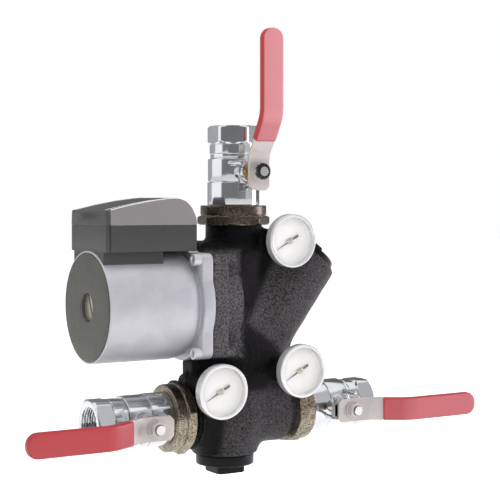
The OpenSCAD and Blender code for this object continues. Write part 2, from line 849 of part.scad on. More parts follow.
module valve_body() {
    difference() {
        union() {
            translate([0, 0, -lip_len - collar_len]) cylinder(r = collar_r, h = collar_len);
            translate([0, 0, -lip_len - overlap]) cylinder(r = lip_r - slip, h = lip_len + 2 * overlap);
            translate([0, 0, 0.2]) cylinder(r = body_lower_r, h = seam_at - 0.2);
            translate([0, 0, 2]) cylinder(r = body_r - 0.5, h = body_end - 2);
            translate([0, 0, seam_at + seam_w]) cylinder(r = body_r, h = body_end - seam_at - seam_w);
            translate([0, 0, stem_at]) facing_front() {
                cylinder(r = boss_r, h = boss_top - 4);
                cylinder(r = boss_r - 1.5, h = boss_top);
            }
            stop_lug(stop_gap - 90);
            stop_lug(-90 - lever_turn - stop_gap);
        }
        translate([0, 0, -male_face]) cylinder(r = way_r, h = male_face + stem_at);
        translate([0, 0, stem_at - seat_reach]) cylinder(r = cavity_r, h = spigot_at);
        translate([0, 0, spigot_at]) cylinder(r = spigot_r + fit, h = 20);
        translate([0, 0, stem_at]) facing_front() {
            cylinder(r = stem_foot_r + fit, h = boss_top + overlap);
            translate([0, 0, boss_top - packing_len])
                cylinder(r = packing_r + fit, h = packing_len + overlap);
        }
    }
}

// A post beside the stem that stops the lever's folded end, at an angle round the stem
module stop_lug(angle) {
    translate([stop_at * cos(angle), 0, stem_at + stop_at * sin(angle)]) facing_front()
        translate([0, 0, 15]) cylinder(r = stop_r, h = 22);
}

module valve_end() {
    difference() {
        union() {
            translate([0, 0, spigot_at]) cylinder(r = spigot_r, h = body_end - spigot_at + overlap);
            translate([0, 0, body_end + 0.5]) cylinder(r = end_r, h = hex_at - body_end);
            translate([0, 0, body_end]) cylinder(r = end_r - 0.6, h = 4);
            translate([0, 0, hex_at]) intersection() {
                rotate([0, 0, 30]) hexagon(hex_across, valve_len - hex_at);
                translate([0, 0, -0.1]) cylinder(r = hex_r - 0.9, h = 40);
            }
        }
        translate([0, 0, stem_at]) cylinder(r = cavity_r, h = seat_reach);
        cylinder(r = way_r, h = valve_len);
        translate([0, 0, valve_len - port_depth]) cylinder(r = port_r, h = port_depth + overlap);
    }
}

module ball() {
    translate([0, 0, stem_at]) difference() {
        sphere(r = ball_r);
        translate([0, 0, -30]) cylinder(r = way_r, h = 60);
        // Slot for the stem's foot
        translate([-slot_w / 2, -slot_at - ball_r, -ball_r]) cube([slot_w, ball_r, 2 * ball_r]);
    }
}

module stem() {
    translate([0, 0, stem_at]) facing_front() difference() {
        union() {
            translate([0, 0, foot_near]) cylinder(r = stem_foot_r, h = boss_top - foot_near - overlap);
            translate([0, 0, foot_top]) cylinder(r = stem_r, h = stud_out - foot_top);
        }
        // Flats that drive the ball
        translate([0, 0, foot_near - overlap]) difference() {
            cylinder(r = stem_foot_r + 1, h = foot_top - foot_near + overlap - 0.4);
            translate([-slot_w / 2 + slip, -20, 0]) cube([slot_w - 2 * slip, 40, 20]);
        }
    }
}

module seat_ring() {
    difference() {
        translate([0, 0, 10.6]) ring(cavity_r - 0.3, way_r, seat_reach - 10.6);
        sphere(r = ball_r + fit);
    }
}

module gland_nut() {
    translate([0, 0, stem_at]) facing_front() translate([0, 0, boss_top]) difference() {
        union() {
            hexagon(2 * gland_r * cos(30), gland_top - boss_top);
            translate([0, 0, -gland_deep]) cylinder(r = packing_r, h = gland_deep + overlap);
        }
        translate([0, 0, -gland_deep - overlap]) cylinder(r = stem_r + fit, h = 20);
        translate([0, 0, -gland_deep - overlap])
            cylinder(r = stem_foot_r + fit, h = gland_deep + overlap);
    }
}

// Side profile of a bar that runs flat beside the stem, slants outwards and runs flat again.
// Each point is [away from the pipe axis, along the lever from the stem].
function bar_profile(near_a, near_b, t, from, to) = [
    [near_a, from], [near_a, bend_from], [near_b, bend_to], [near_b, to],
    [near_b + t, to], [near_b + t, bend_to + 0.6 * t], [near_a + t, bend_from + 0.6 * t],
    [near_a + t, from]];

module bar(points, width) {
    rotate([0, -90, 0]) mirror([0, 1, 0]) translate([0, 0, -width / 2]) linear_extrude(width)
        polygon([for (p = points) [p[1], p[0]]]);
}

steel_out = grip_near + (grip_t - plate_t) / 2;

module lever_blank(grow) {
    intersection() {
        bar(bar_profile(plate_near - grow, steel_out - grow, plate_t + 2 * grow,
            -plate_end, lever_len - grip_cap + grow), 60);
        union() {
            translate([-lever_w / 2, -90, -plate_end]) cube([lever_w, 90, plate_end + grip_from]);
            translate([-8 - grow, -90, 0]) cube([16 + 2 * grow, 90, lever_len - grip_cap + grow]);
        }
    }
}

module lever() {
    translate([0, 0, stem_at]) difference() {
        union() {
            lever_blank(0);
            // End folded towards the valve: it meets the stop lugs
            translate([-5.2, -plate_near - 1, -plate_end]) cube([10.4, 9, 2.5]);
            translate([-lever_w / 2 + 2.5, -plate_near - 1, -plate_end])
                cube([lever_w - 5, 4, 2.5]);
        }
        facing_front() cylinder(r = stem_r + fit, h = 60);
        // Chamfered corners
        for (side = [-1, 1]) translate([side * lever_w / 2, 0, -plate_end]) rotate([0, 45, 0])
            cube([5, through, 5], center = true);
    }
}

module grip() {
    translate([0, 0, stem_at]) difference() {
        intersection() {
            bar(bar_profile(grip_near - (steel_out - plate_near), grip_near, grip_t,
                -plate_end, lever_len), 60);
            union() {
                translate([-grip_w / 2, -90, grip_from])
                    cube([grip_w, 90, lever_len - grip_from - grip_round]);
                translate([-grip_w / 2 + grip_round, -90, grip_from])
                    cube([grip_w - 2 * grip_round, 90, lever_len - grip_from]);
                for (side = [-1, 1])
                    translate([side * (grip_w / 2 - grip_round), 0, lever_len - grip_round])
                        facing_front() cylinder(r = grip_round, h = 90);
            }
        }
        lever_blank(fit);
    }
}

module lever_nut() {
    translate([0, 0, stem_at]) facing_front() translate([0, 0, plate_near + plate_t])
        difference() {
            union() {
                cylinder(r = 8.4, h = 1.4);
                hexagon(nut_across, 6.2);
            }
            translate([0, 0, -overlap]) cylinder(r = stem_r + fit, h = 20);
        }
}

module ball_seats() {
    color("white") at_each_union() translate([0, 0, stem_at]) {
        seat_ring();
        mirror([0, 0, 1]) seat_ring();
    }
}

module gland_nuts() {
    color("gold") at_each_union() gland_nut();
}

module top_valve_body() {
    color("silver") at_top() valve_body();
}

module top_valve_end() {
    color("silver") at_top() valve_end();
}

module top_ball() {
    color("lightgray") at_top() ball();
}

module top_stem() {
    color("gold") at_top() stem();
}

module top_lever() {
    color("gainsboro") at_top() lever();
}

module top_grip() {
    color("crimson") at_top() grip();
}

module top_lever_nut() {
    color("dimgray") at_top() lever_nut();
}

module left_valve_body() {
    color("silver") at_left() valve_body();
}

module left_valve_end() {
    color("silver") at_left() valve_end();
}

module left_ball() {
    color("lightgray") at_left() ball();
}

module left_stem() {
    color("gold") at_left() stem();
}

module left_lever() {
    color("gainsboro") at_left() lever();
}

module left_grip() {
    color("crimson") at_left() grip();
}

module left_lever_nut() {
    color("dimgray") at_left() lever_nut();
}

module right_valve_body() {
    color("silver") at_right() valve_body();
}

module right_valve_end() {
    color("silver") at_right() valve_end();
}

module right_ball() {
    color("lightgray") at_right() ball();
}

module right_stem() {
    color("gold") at_right() stem();
}

module right_lever() {
    color("gainsboro") at_right() lever();
}

module right_grip() {
    color("crimson") at_right() grip();
}

module right_lever_nut() {
    color("dimgray") at_right() lever_nut();
}

// ---------- thermometers: built along +Z towards the front, from the bezel's front ----------

// Places what is drawn with z = 0 at the bezel's front and +Z towards the viewer
module at_gauge(place) {
    hang() translate([place[0], -gauge_front, place[1]]) facing_front() children();
}

module at_each_gauge() {
    at_gauge(upper_gauge) children();
    at_gauge(left_gauge) children();
    at_gauge(right_gauge) children();
}

case_in_r = gauge_r - 1.8;
glass_t = 1;
bezel_lip = 1.2;

module gauge_case() {
    translate([0, 0, -gauge_depth]) difference() {
        union() {
            cylinder(r = gauge_r - 0.8, h = gauge_depth);
            translate([0, 0, 1]) cylinder(r = gauge_r, h = gauge_depth - 2);
        }
        translate([0, 0, 1.4]) cylinder(r = case_in_r, h = gauge_depth - 1.4 - bezel_lip);
        translate([0, 0, 2]) cylinder(r = case_in_r - 1, h = gauge_depth);
        translate([0, 0, -overlap]) cylinder(r = probe_r + fit, h = 5);
    }
}

module upper_gauge_case() {
    color("gainsboro") at_gauge(upper_gauge) gauge_case();
}

module left_gauge_case() {
    color("gainsboro") at_gauge(left_gauge) gauge_case();
}

module right_gauge_case() {
    color("gainsboro") at_gauge(right_gauge) gauge_case();
}

module gauge_dials() {
    color("white") at_each_gauge() translate([0, 0, -gauge_depth + 1.4])
        ring(case_in_r - fit, pin_r + fit, gauge_depth - 1.4 - dial_depth);
}

module gauge_glasses() {
    color([0.8, 0.9, 1, 0.3]) at_each_gauge() translate([0, 0, -bezel_lip - glass_t])
        cylinder(r = case_in_r - fit, h = glass_t);
}

module gauge_probes() {
    probe_len = gauge_front - gauge_depth + 1.4 - probe_deep - 1;
    color("gold") at_each_gauge() translate([0, 0, -gauge_depth + 1.4]) mirror([0, 0, 1])
        difference() {
            union() {
                cylinder(r = probe_r, h = probe_len);
                translate([0, 0, 1.4]) cylinder(r = 6.4, h = gauge_front - gauge_depth - boss_front);
            }
            translate([0, 0, -overlap]) cylinder(r = pin_r + fit, h = 5);
        }
}

module needle() {
    translate([0, 0, -dial_depth]) rotate([0, 0, 90 - needle_rest]) {
        translate([0, 0, 1]) linear_extrude(0.5)
            polygon([[-9, -1], [-6, -0.6], [0, -0.9], [16, -0.15], [16, 0.15], [0, 0.9], [-6, 0.6],
                [-9, 1]]);
        translate([0, 0, 0.4]) cylinder(r = 2.9, h = 1.8);
        translate([0, 0, -4]) cylinder(r = pin_r, h = 5);
    }
}

module upper_needle() {
    color([0.2, 0.2, 0.2]) at_gauge(upper_gauge) needle();
}

module left_needle() {
    color([0.2, 0.2, 0.2]) at_gauge(left_gauge) needle();
}

module right_needle() {
    color([0.2, 0.2, 0.2]) at_gauge(right_gauge) needle();
}

// ---------- drawing ----------

casting();
bottom_plug();
slant_plug();
plug_seals();
thermostat_frame();
thermostat_poppet();
thermostat_spring();
check_flap();
flap_pin();
motor_housing();
end_disc();
vent_screw();
stator();
rotor_can();
rotor_core();
rotor_shaft();
shaft_bearings();
bearing_plate();
impeller();
pump_gasket();
pump_bolts();
terminal_box();
terminal_lid();
terminal_block();
lid_screw();
cable_gland();
union_nuts();
union_gaskets();
ball_seats();
gland_nuts();
top_valve_body();
top_valve_end();
top_ball();
top_stem();
top_lever();
top_grip();
top_lever_nut();
left_valve_body();
left_valve_end();
left_ball();
left_stem();
left_lever();
left_grip();
left_lever_nut();
right_valve_body();
right_valve_end();
right_ball();
right_stem();
right_lever();
right_grip();
right_lever_nut();
upper_gauge_case();
left_gauge_case();
right_gauge_case();
gauge_dials();
gauge_glasses();
gauge_probes();
upper_needle();
left_needle();
right_needle();
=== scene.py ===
"""Dressed model of a pump mixing group for an underfloor heating circuit.

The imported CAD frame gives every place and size. This script adds the surfaces and the
finishes of the real group. Drawings are in millimetres in a local frame of each
sub-assembly; meshes are written in metres in the part's own frame.
"""

from __future__ import annotations

import json
import logging
import math
from dataclasses import dataclass
from enum import Enum

import bmesh
import bpy
import numpy as np
from numpy.typing import NDArray
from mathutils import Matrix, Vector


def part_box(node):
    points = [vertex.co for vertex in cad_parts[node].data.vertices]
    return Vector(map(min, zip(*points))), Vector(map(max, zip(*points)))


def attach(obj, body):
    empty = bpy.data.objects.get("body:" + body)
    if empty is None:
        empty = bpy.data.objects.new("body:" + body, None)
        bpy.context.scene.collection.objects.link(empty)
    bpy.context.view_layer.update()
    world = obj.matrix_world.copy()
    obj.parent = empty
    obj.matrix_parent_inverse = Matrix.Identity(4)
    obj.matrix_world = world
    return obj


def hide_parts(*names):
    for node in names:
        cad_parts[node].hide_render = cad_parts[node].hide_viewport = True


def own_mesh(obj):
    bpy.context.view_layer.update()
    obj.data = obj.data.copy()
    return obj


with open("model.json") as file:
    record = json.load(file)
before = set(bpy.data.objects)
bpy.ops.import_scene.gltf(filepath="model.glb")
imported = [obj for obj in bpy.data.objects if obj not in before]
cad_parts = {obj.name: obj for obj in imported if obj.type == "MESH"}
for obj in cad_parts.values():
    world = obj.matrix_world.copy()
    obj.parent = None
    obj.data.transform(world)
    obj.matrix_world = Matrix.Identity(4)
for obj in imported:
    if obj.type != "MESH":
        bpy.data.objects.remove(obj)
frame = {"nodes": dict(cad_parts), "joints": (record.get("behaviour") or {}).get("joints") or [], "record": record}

Points = NDArray[np.float64]
Colour = tuple[float, float, float]

LOG = logging.getLogger("mixing_group")
ROOT = "group"
X_AXIS, Y_AXIS, Z_AXIS = np.eye(3)
MM = 1e-3  # metres in a drawn millimetre
PER_METRE = 1e3  # drawn millimetres in a metre
WELD = 3e-6  # metres within which vertices merge
CREASE = 32.0  # degrees past which an edge stays sharp
FINE_CREASE = 30.0  # the same for the machined pieces
FLAT_CREASE = 28.0  # the same for the box and the union nuts
CAST_CREASE = 38.0  # the same for the housing
SOFT_CREASE = 50.0  # the same for the grips
TINY = 1e-9  # keeps a division from failing
VIEW_TURN = math.radians(30.7)  # turn of the camera from straight in front


# ---------- places ----------


@dataclass(frozen=True)
class Placement:
    """A local drawing frame: an origin in metres and the three directions of its axes."""

    origin: Points
    x: Points
    y: Points
    z: Points

    def metres(self, points: Points) -> Points:
        """Turns drawn millimetres into metres: origin + (x·a + y·b + z·c) / 1000."""
        return self.origin + MM * (points @ np.stack([self.x, self.y, self.z]))

    def drawn(self, points: Points) -> Points:
        """Turns metres into drawn millimetres: 1000 · ((p - origin) · axes)."""
        return PER_METRE * ((points - self.origin) @ np.stack([self.x, self.y, self.z], axis=1))

    def moved(self, across: float, up: float, along: float) -> "Placement":
        """The same axes about another drawn point."""
        return Placement(self.metres(spot(across, up, along)), self.x, self.y, self.z)

    def to_front(self, along: float) -> "Placement":
        """A frame that looks to the front and whose second axis runs along this one's third."""
        return Placement(self.metres(spot(0.0, 0.0, along)), self.x, self.z, -self.y)


def spot(x: float, y: float, z: float) -> Points:
    """A point or a shift of three coordinates."""
    return np.array([x, y, z], dtype=float)


def extent(node: str) -> tuple[Points, Points]:
    """The lowest and highest corners of a CAD node's box, in metres."""
    low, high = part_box(node)
    return np.array(low), np.array(high)


def mount(name: str) -> dict:
    """The record's entry for a mount."""
    return next(m for m in frame["record"]["mounts"] if m["name"] == name)


def joint_place(name: str) -> Points:
    """The point that a joint turns about, in metres."""
    return np.array(next(j for j in frame["joints"] if j["name"] == name)["pos_m"], dtype=float)


def valve_placement(side: str) -> Placement:
    """The frame of a valve: its third axis runs out of the group, from the union nut's face."""
    axis = np.array(mount(f"{side}_port")["axis"], dtype=float)
    port = np.array(mount(f"{side}_port")["pos_m"], dtype=float)
    face = float(max(axis @ edge for edge in extent("union_nuts")))
    origin = port + axis * (face - axis @ port)
    return Placement(origin, np.cross(Y_AXIS, axis), Y_AXIS, axis)


def pump_placement() -> Placement:
    """The frame of the circulator: its third axis runs to the left from the pump seat."""
    seat = extent("pump_gasket")[1][0]
    height = joint_place("rotor_spin")[2]
    return Placement(spot(seat, 0.0, height), Z_AXIS, Y_AXIS, -X_AXIS)


def box_placement() -> Placement:
    """The frame of the terminal box: distance to the left, then depth, then height."""
    pump = pump_placement()
    return Placement(pump.origin, -X_AXIS, Y_AXIS, Z_AXIS)


def gauge_placement(name: str) -> Placement:
    """The frame of a thermometer: its third axis runs to the front from the bezel's face."""
    low, high = extent(f"{name}_gauge_case")
    centre = (low + high) / 2
    return Placement(spot(centre[0], low[1], centre[2]), X_AXIS, Z_AXIS, -Y_AXIS)


def crossing_placement() -> Placement:
    """The frame around the crossing of the riser's axis and the run's axis."""
    run_height = mount("left_port")["pos_m"][2]
    return Placement(spot(0.0, 0.0, run_height), X_AXIS, Y_AXIS, Z_AXIS)


# ---------- surfaces ----------


def circle(count: int) -> Points:
    """Angles spread evenly over one turn, in radians."""
    return np.linspace(0.0, 2 * np.pi, count, endpoint=False)


def from_flat(theta: Points, sides: int) -> Points:
    """Angles from the middle of the nearest side of a regular polygon."""
    span = 2 * np.pi / sides
    return (theta + span / 2) % span - span / 2


def smooth(share: Points) -> Points:
    """The smooth step s²·(3 - 2s) of shares from 0 to 1."""
    return share * share * (3 - 2 * share)


@dataclass
class Patch:
    """A surface given as a grid of points, which may close on itself either way."""

    points: Points
    wrap_rows: bool = False
    wrap_columns: bool = False

    def quads(self, start: int) -> NDArray[np.int64]:
        """Corner numbers of the grid's four-sided faces, counted from start."""
        rows, columns = self.points.shape[:2]
        row = np.arange(rows if self.wrap_rows else rows - 1)
        column = np.arange(columns if self.wrap_columns else columns - 1)
        row, column = np.meshgrid(row, column, indexing="ij")
        below, beside = (row + 1) % rows, (column + 1) % columns
        corners = ((row, column), (row, beside), (below, beside), (below, column))
        numbers = np.stack([r * columns + c for r, c in corners], axis=-1)
        return start + numbers.reshape(-1, 4)

    def shifted(self, shift: Points) -> "Patch":
        """The same surface, moved."""
        return Patch(self.points + shift, self.wrap_rows, self.wrap_columns)


def filleted(
    points: Points, setback: float | Points, steps: int = 4, closed: bool = False
) -> Points:
    """Rounds the corners of a line of points.

    Each corner p becomes the curve (1-u)²·a + 2u(1-u)·p + u²·b, where a and b lie a
    setback away from p towards its neighbours, or less on a short side.

    Args:
        points: ... × n × d corners.
        setback: how far before and after each corner the curve starts.
        steps: spans of each curve.
        closed: whether the line returns to its first point.

    Returns:
        ... × n·(steps + 1) × d points.
    """
    before, after = np.roll(points, 1, axis=-2), np.roll(points, -1, axis=-2)
    size = np.broadcast_to(np.asarray(setback, dtype=float), points.shape[:-1]).copy()
    if not closed:
        size[..., 0] = size[..., -1] = 0.0
    to_before, to_after = before - points, after - points
    length_before = np.linalg.norm(to_before, axis=-1, keepdims=True) + TINY
    length_after = np.linalg.norm(to_after, axis=-1, keepdims=True) + TINY
    most = 0.499 * np.minimum(length_before, length_after)
    reach = np.minimum(size[..., None], most)
    a = points + to_before / length_before * reach
    b = points + to_after / length_after * reach
    u = np.linspace(0.0, 1.0, steps + 1)[:, None]
    curve = (
        (1 - u) ** 2 * a[..., None, :]
        + 2 * u * (1 - u) * points[..., None, :]
        + u**2 * b[..., None, :]
    )
    return curve.reshape(*points.shape[:-2], -1, points.shape[-1])


def profile(*corners: tuple[float, ...], closed: bool = False, steps: int = 4) -> Points:
    """A turned outline from corners of (radius, height, setback), rounded by their setbacks."""
    table = np.array([c if len(c) == 3 else (*c, 0.0) for c in corners], dtype=float)
    return filleted(table[:, :2], table[:, 2], steps, closed)


def polar(radius: Points, height: Points, count: int, closed: bool = False) -> Patch:
    """A surface in polar form: (r·cos θ, r·sin θ, h) for a grid of r and h over rows and θ."""
    theta = circle(count)
    radius, height = np.broadcast_arrays(radius, height)
    if radius.ndim == 1:
        radius, height = radius[:, None], height[:, None]
    parts = (radius * np.cos(theta), radius * np.sin(theta), height * np.ones(count))
    return Patch(np.stack(np.broadcast_arrays(*parts), axis=-1), closed, wrap_columns=True)


def turned(outline: Points, count: int = 96, closed: bool = False) -> Patch:
    """An outline of (radius, height) points carried once round the third axis."""
    return polar(outline[:, 0], outline[:, 1], count, closed)


def flatted(
    outline: Points,
    sides: int,
    apothem: float,
    turn: float = 0.0,
    count: int = 192,
    closed: bool = False,
    soften: float = 0.25,
) -> Patch:
    """A turned outline cut by the flats of a regular polygon.

    The radius is the softened smaller of the outline's radius and apothem / cos δ, where
    δ is the angle to the nearest flat: (a + b - sqrt((a-b)² + soften²)) / 2.

    Args:
        outline: (radius, height) points.
        sides: number of flats.
        apothem: distance of each flat from the axis.
        turn: direction of the first flat in degrees.
        count: points round the axis.
        closed: whether the outline returns to its first point.
        soften: how much the edges between flats and turned faces are eased.

    Returns:
        The surface.
    """
    delta = from_flat(circle(count) - math.radians(turn), sides)
    flat = (apothem / np.cos(delta))[None, :]
    round_r = outline[:, :1]
    radius = (flat + round_r - np.sqrt((flat - round_r) ** 2 + soften**2)) / 2
    return polar(np.maximum(radius, 0.0), outline[:, 1:2], count, closed)


def lofted(loops: Points) -> Patch:
    """A stack of closed loops, rows × columns × 3, closed at both ends onto their middles."""
    first, last = (
        np.broadcast_to(end.mean(axis=1, keepdims=True), end.shape)
        for end in (loops[:1], loops[-1:])
    )
    return Patch(np.concatenate([first, loops, last]), wrap_columns=True)


def stacked(rows: Points, height: Points) -> Patch:
    """Flat loops, m × n × 2, each closed at its own height and lofted."""
    level = np.broadcast_to(height[:, None, None], (*rows.shape[:2], 1))
    return lofted(np.concatenate([rows, level], axis=-1))


def raised(outline: Points, levels: Points) -> Patch:
    """A plate: a flat closed outline stacked at (inset, height) levels.

    Each point moves inwards along the outline's normal by the level's inset.

    Args:
        outline: n × 2 points, anticlockwise.
        levels: m × 2 pairs of inset and height.

    Returns:
        The closed surface.
    """
    along = np.roll(outline, -1, axis=0) - np.roll(outline, 1, axis=0)
    normal = np.stack([along[:, 1], -along[:, 0]], axis=-1)
    normal /= np.linalg.norm(normal, axis=-1, keepdims=True) + TINY
    return stacked(outline[None] - levels[:, :1, None] * normal[None], levels[:, 1])


def brick_faces(lattice: Points) -> list[Patch]:
    """The six outer faces of a bent brick given as an a × b × c × 3 lattice of points."""
    return [Patch(lattice.take(end, axis)) for axis in range(3) for end in (0, -1)]


def brick(low: tuple[float, float, float], high: tuple[float, float, float]) -> list[Patch]:
    """A straight brick between two corners."""
    ends = [np.array([a, b]) for a, b in zip(low, high)]
    return brick_faces(np.stack(np.meshgrid(*ends, indexing="ij"), axis=-1))


def rounded_rectangle(half_a: float, half_b: float, corner_r: float, steps: int = 8) -> Points:
    """A rectangle with rounded corners about the origin, anticlockwise."""
    signs = np.array([[1, -1], [1, 1], [-1, 1], [-1, -1]])
    return filleted(signs * [half_a, half_b], corner_r, steps, closed=True)


@dataclass(frozen=True)
class BentLine:
    """A line in a side plane with rounded bends, measured along its own length."""

    corners: Points
    bend: float

    def points(self) -> Points:
        """The rounded line without its repeated points."""
        line = filleted(self.corners, self.bend, 10)
        step = np.linalg.norm(np.diff(line, axis=0), axis=1)
        shortest = 1e-6
        return line[np.concatenate([[True], step > shortest])]

    def reach(self) -> Points:
        """Length of the line from its start to each of its points."""
        steps = np.linalg.norm(np.diff(self.points(), axis=0), axis=1)
        return np.concatenate([[0.0], np.cumsum(steps)])

    def at(self, stations: Points) -> Points:
        """The places at given lengths along the line."""
        line, reach = self.points(), self.reach()
        return np.stack([np.interp(stations, reach, line[:, i]) for i in range(2)], axis=-1)

    def direction(self, stations: Points) -> Points:
        """Unit directions of the line at given lengths, from places a little before and after."""
        margin, apart = 0.35, 0.3
        inside = np.clip(stations, margin, self.reach()[-1] - margin)
        along = self.at(inside + apart) - self.at(inside - apart)
        return along / np.linalg.norm(along, axis=1, keepdims=True)


@dataclass(frozen=True)
class Strip:
    """A bar that follows a bent line in its own side plane.

    A point of the bar is P(s) + t·N(s) + w·X, where P is the line at arc length s, N its
    normal in the side plane, X the direction across, and (w, t) runs round a rectangle
    with eased corners.
    """

    line: BentLine
    ease: float
    stations: Points
    half_widths: Points
    half_thickness: Points

    def patch(self) -> Patch:
        """The bar's closed surface; the side plane's axes are the second and third."""
        place, along = self.line.at(self.stations), self.line.direction(self.stations)
        normal = np.stack([-along[:, 1], along[:, 0]], axis=-1)
        half_sizes = np.stack([self.half_widths, self.half_thickness], axis=-1)
        signs = np.array([[1, -1], [1, 1], [-1, 1], [-1, -1]])
        section = filleted(half_sizes[:, None] * signs, self.ease, 5, closed=True)
        side = place[:, None, :] + section[..., 1:2] * normal[:, None, :]
        return lofted(np.concatenate([section[..., :1], side], axis=-1))


def rounded_end(length: float, radius: float, count: int = 14) -> tuple[Points, Points]:
    """Stations and width losses of a round tip.

    At a distance d past the start of the rounding, the loss is R - sqrt(R² - d²).

    Args:
        length: arc length of the tip.
        radius: radius of the tip's corners.
        count: stations on the rounding.

    Returns:
        Stations up to the tip, and how much narrower each side is there.
    """
    almost = 0.985
    angle = np.linspace(0.0, np.pi / 2 * almost, count)
    return length - radius + radius * np.sin(angle), radius * (1 - np.cos(angle))


# ---------- objects ----------


def add_piece(
    name: str,
    patches: list[Patch],
    placement: Placement | list[Placement],
    crease: float = CREASE,
) -> bpy.types.Object:
    """Makes one object of several patches, drawn once at each placement.

    Args:
        name: the piece's name.
        patches: closed surfaces in drawn millimetres.
        placement: where the drawing stands, or several such places.
        crease: angle in degrees past which an edge stays sharp.

    Returns:
        The object, at the origin with its place in its mesh.
    """
    places = placement if isinstance(placement, list) else [placement]
    vertices: list[Points] = []
    quads: list[NDArray[np.int64]] = []
    total = 0
    for place in places:
        for patch in patches:
            vertices.append(place.metres(patch.points.reshape(-1, 3)))
            quads.append(patch.quads(total))
            total += vertices[-1].shape[0]
    mesh = bpy.data.meshes.new(name)
    mesh.from_pydata(np.concatenate(vertices).tolist(), [], np.concatenate(quads).tolist())
    work = bmesh.new()
    work.from_mesh(mesh)
    bmesh.ops.remove_doubles(work, verts=work.verts, dist=WELD)
    bmesh.ops.recalc_face_normals(work, faces=work.faces)
    work.to_mesh(mesh)
    work.free()
    return finish_object(name, mesh, crease)


def finish_object(name: str, mesh: bpy.types.Mesh, crease: float) -> bpy.types.Object:
    """Shades a mesh smoothly up to its creases and puts its object into the scene.

    Args:
        name: the object's name.
        mesh: its mesh.
        crease: angle in degrees past which an edge stays sharp.

    Returns:
        The object.
    """
    mesh.polygons.foreach_set("use_smooth", np.ones(len(mesh.polygons), dtype=bool))
    mesh.set_sharp_from_angle(angle=math.radians(crease))
    mesh.update()
    return put(name, mesh)


def put(name: str, data: bpy.types.ID) -> bpy.types.Object:
    """Makes an object of a mesh, light or camera and puts it into the scene."""
    thing = bpy.data.objects.new(name, data)
    bpy.context.scene.collection.objects.link(thing)
    return thing


def soften_edges(piece: bpy.types.Object, width: float, segments: int = 2) -> None:
    """Adds a Bevel modifier of a width in millimetres to the piece's sharp edges."""
    bevel = piece.modifiers.new("eased_edges", "BEVEL")
    bevel.width = width * MM
    bevel.segments = segments
    bevel.limit_method = "ANGLE"
    bevel.angle_limit = math.radians(CREASE)
    bevel.harden_normals = True


def skin(piece: bpy.types.Object) -> tuple[Points, Points]:
    """The places in metres and the directions outwards of a piece's vertices."""
    values = np.empty((2, len(piece.data.vertices) * 3), dtype=np.float32)
    piece.data.vertices.foreach_get("co", values[0])
    piece.data.vertex_normals.foreach_get("vector", values[1])
    points, normals = values.reshape(2, -1, 3).astype(float)
    return points, normals


def mark(piece: bpy.types.Object, paleness: Points) -> None:
    """Stores how pale each vertex is: -1 a painted black shade, 0 the plain, 1 the pale and 2 the wear tone, which
    on the lid is a painted highlight.
    """
    layer = piece.data.attributes.new("pale", "FLOAT", "POINT")
    layer.data.foreach_set("value", paleness.astype(np.float32))


# ---------- finishes ----------


def tone(red: float, green: float, blue: float) -> Colour:
    """A colour written as 0 to 255 in each channel, as the linear values that shaders use."""
    value = np.array([red, green, blue]) / 255.0
    linear = np.where(value <= 0.04045, value / 12.92, ((value + 0.055) / 1.055) ** 2.4)
    return tuple(float(v) for v in linear)


WHITE = (1.0, 1.0, 1.0, 1.0)  # with its alpha
# painted shade for the sunk channels of the terminal lid
CHANNEL_SHADE_TONE = tone(8, 8, 8)
PIT_TONE = tone(10, 9, 10)
STUD_PITCH = 0.00125  # metres from thread to thread of a lever's stud
MIDDLE_NOISE = (0.35, 0.65)  # the span of a noise in which most of its change lies


class Relief(Enum):
    """The kinds of skin that a finish may have."""

    CAST = "cast"
    BLASTED = "blasted"
    POLISHED = "polished"
    BRUSHED = "brushed"
    MOULDED = "moulded"
    THREADED = "threaded"
    LAMINATED = "laminated"


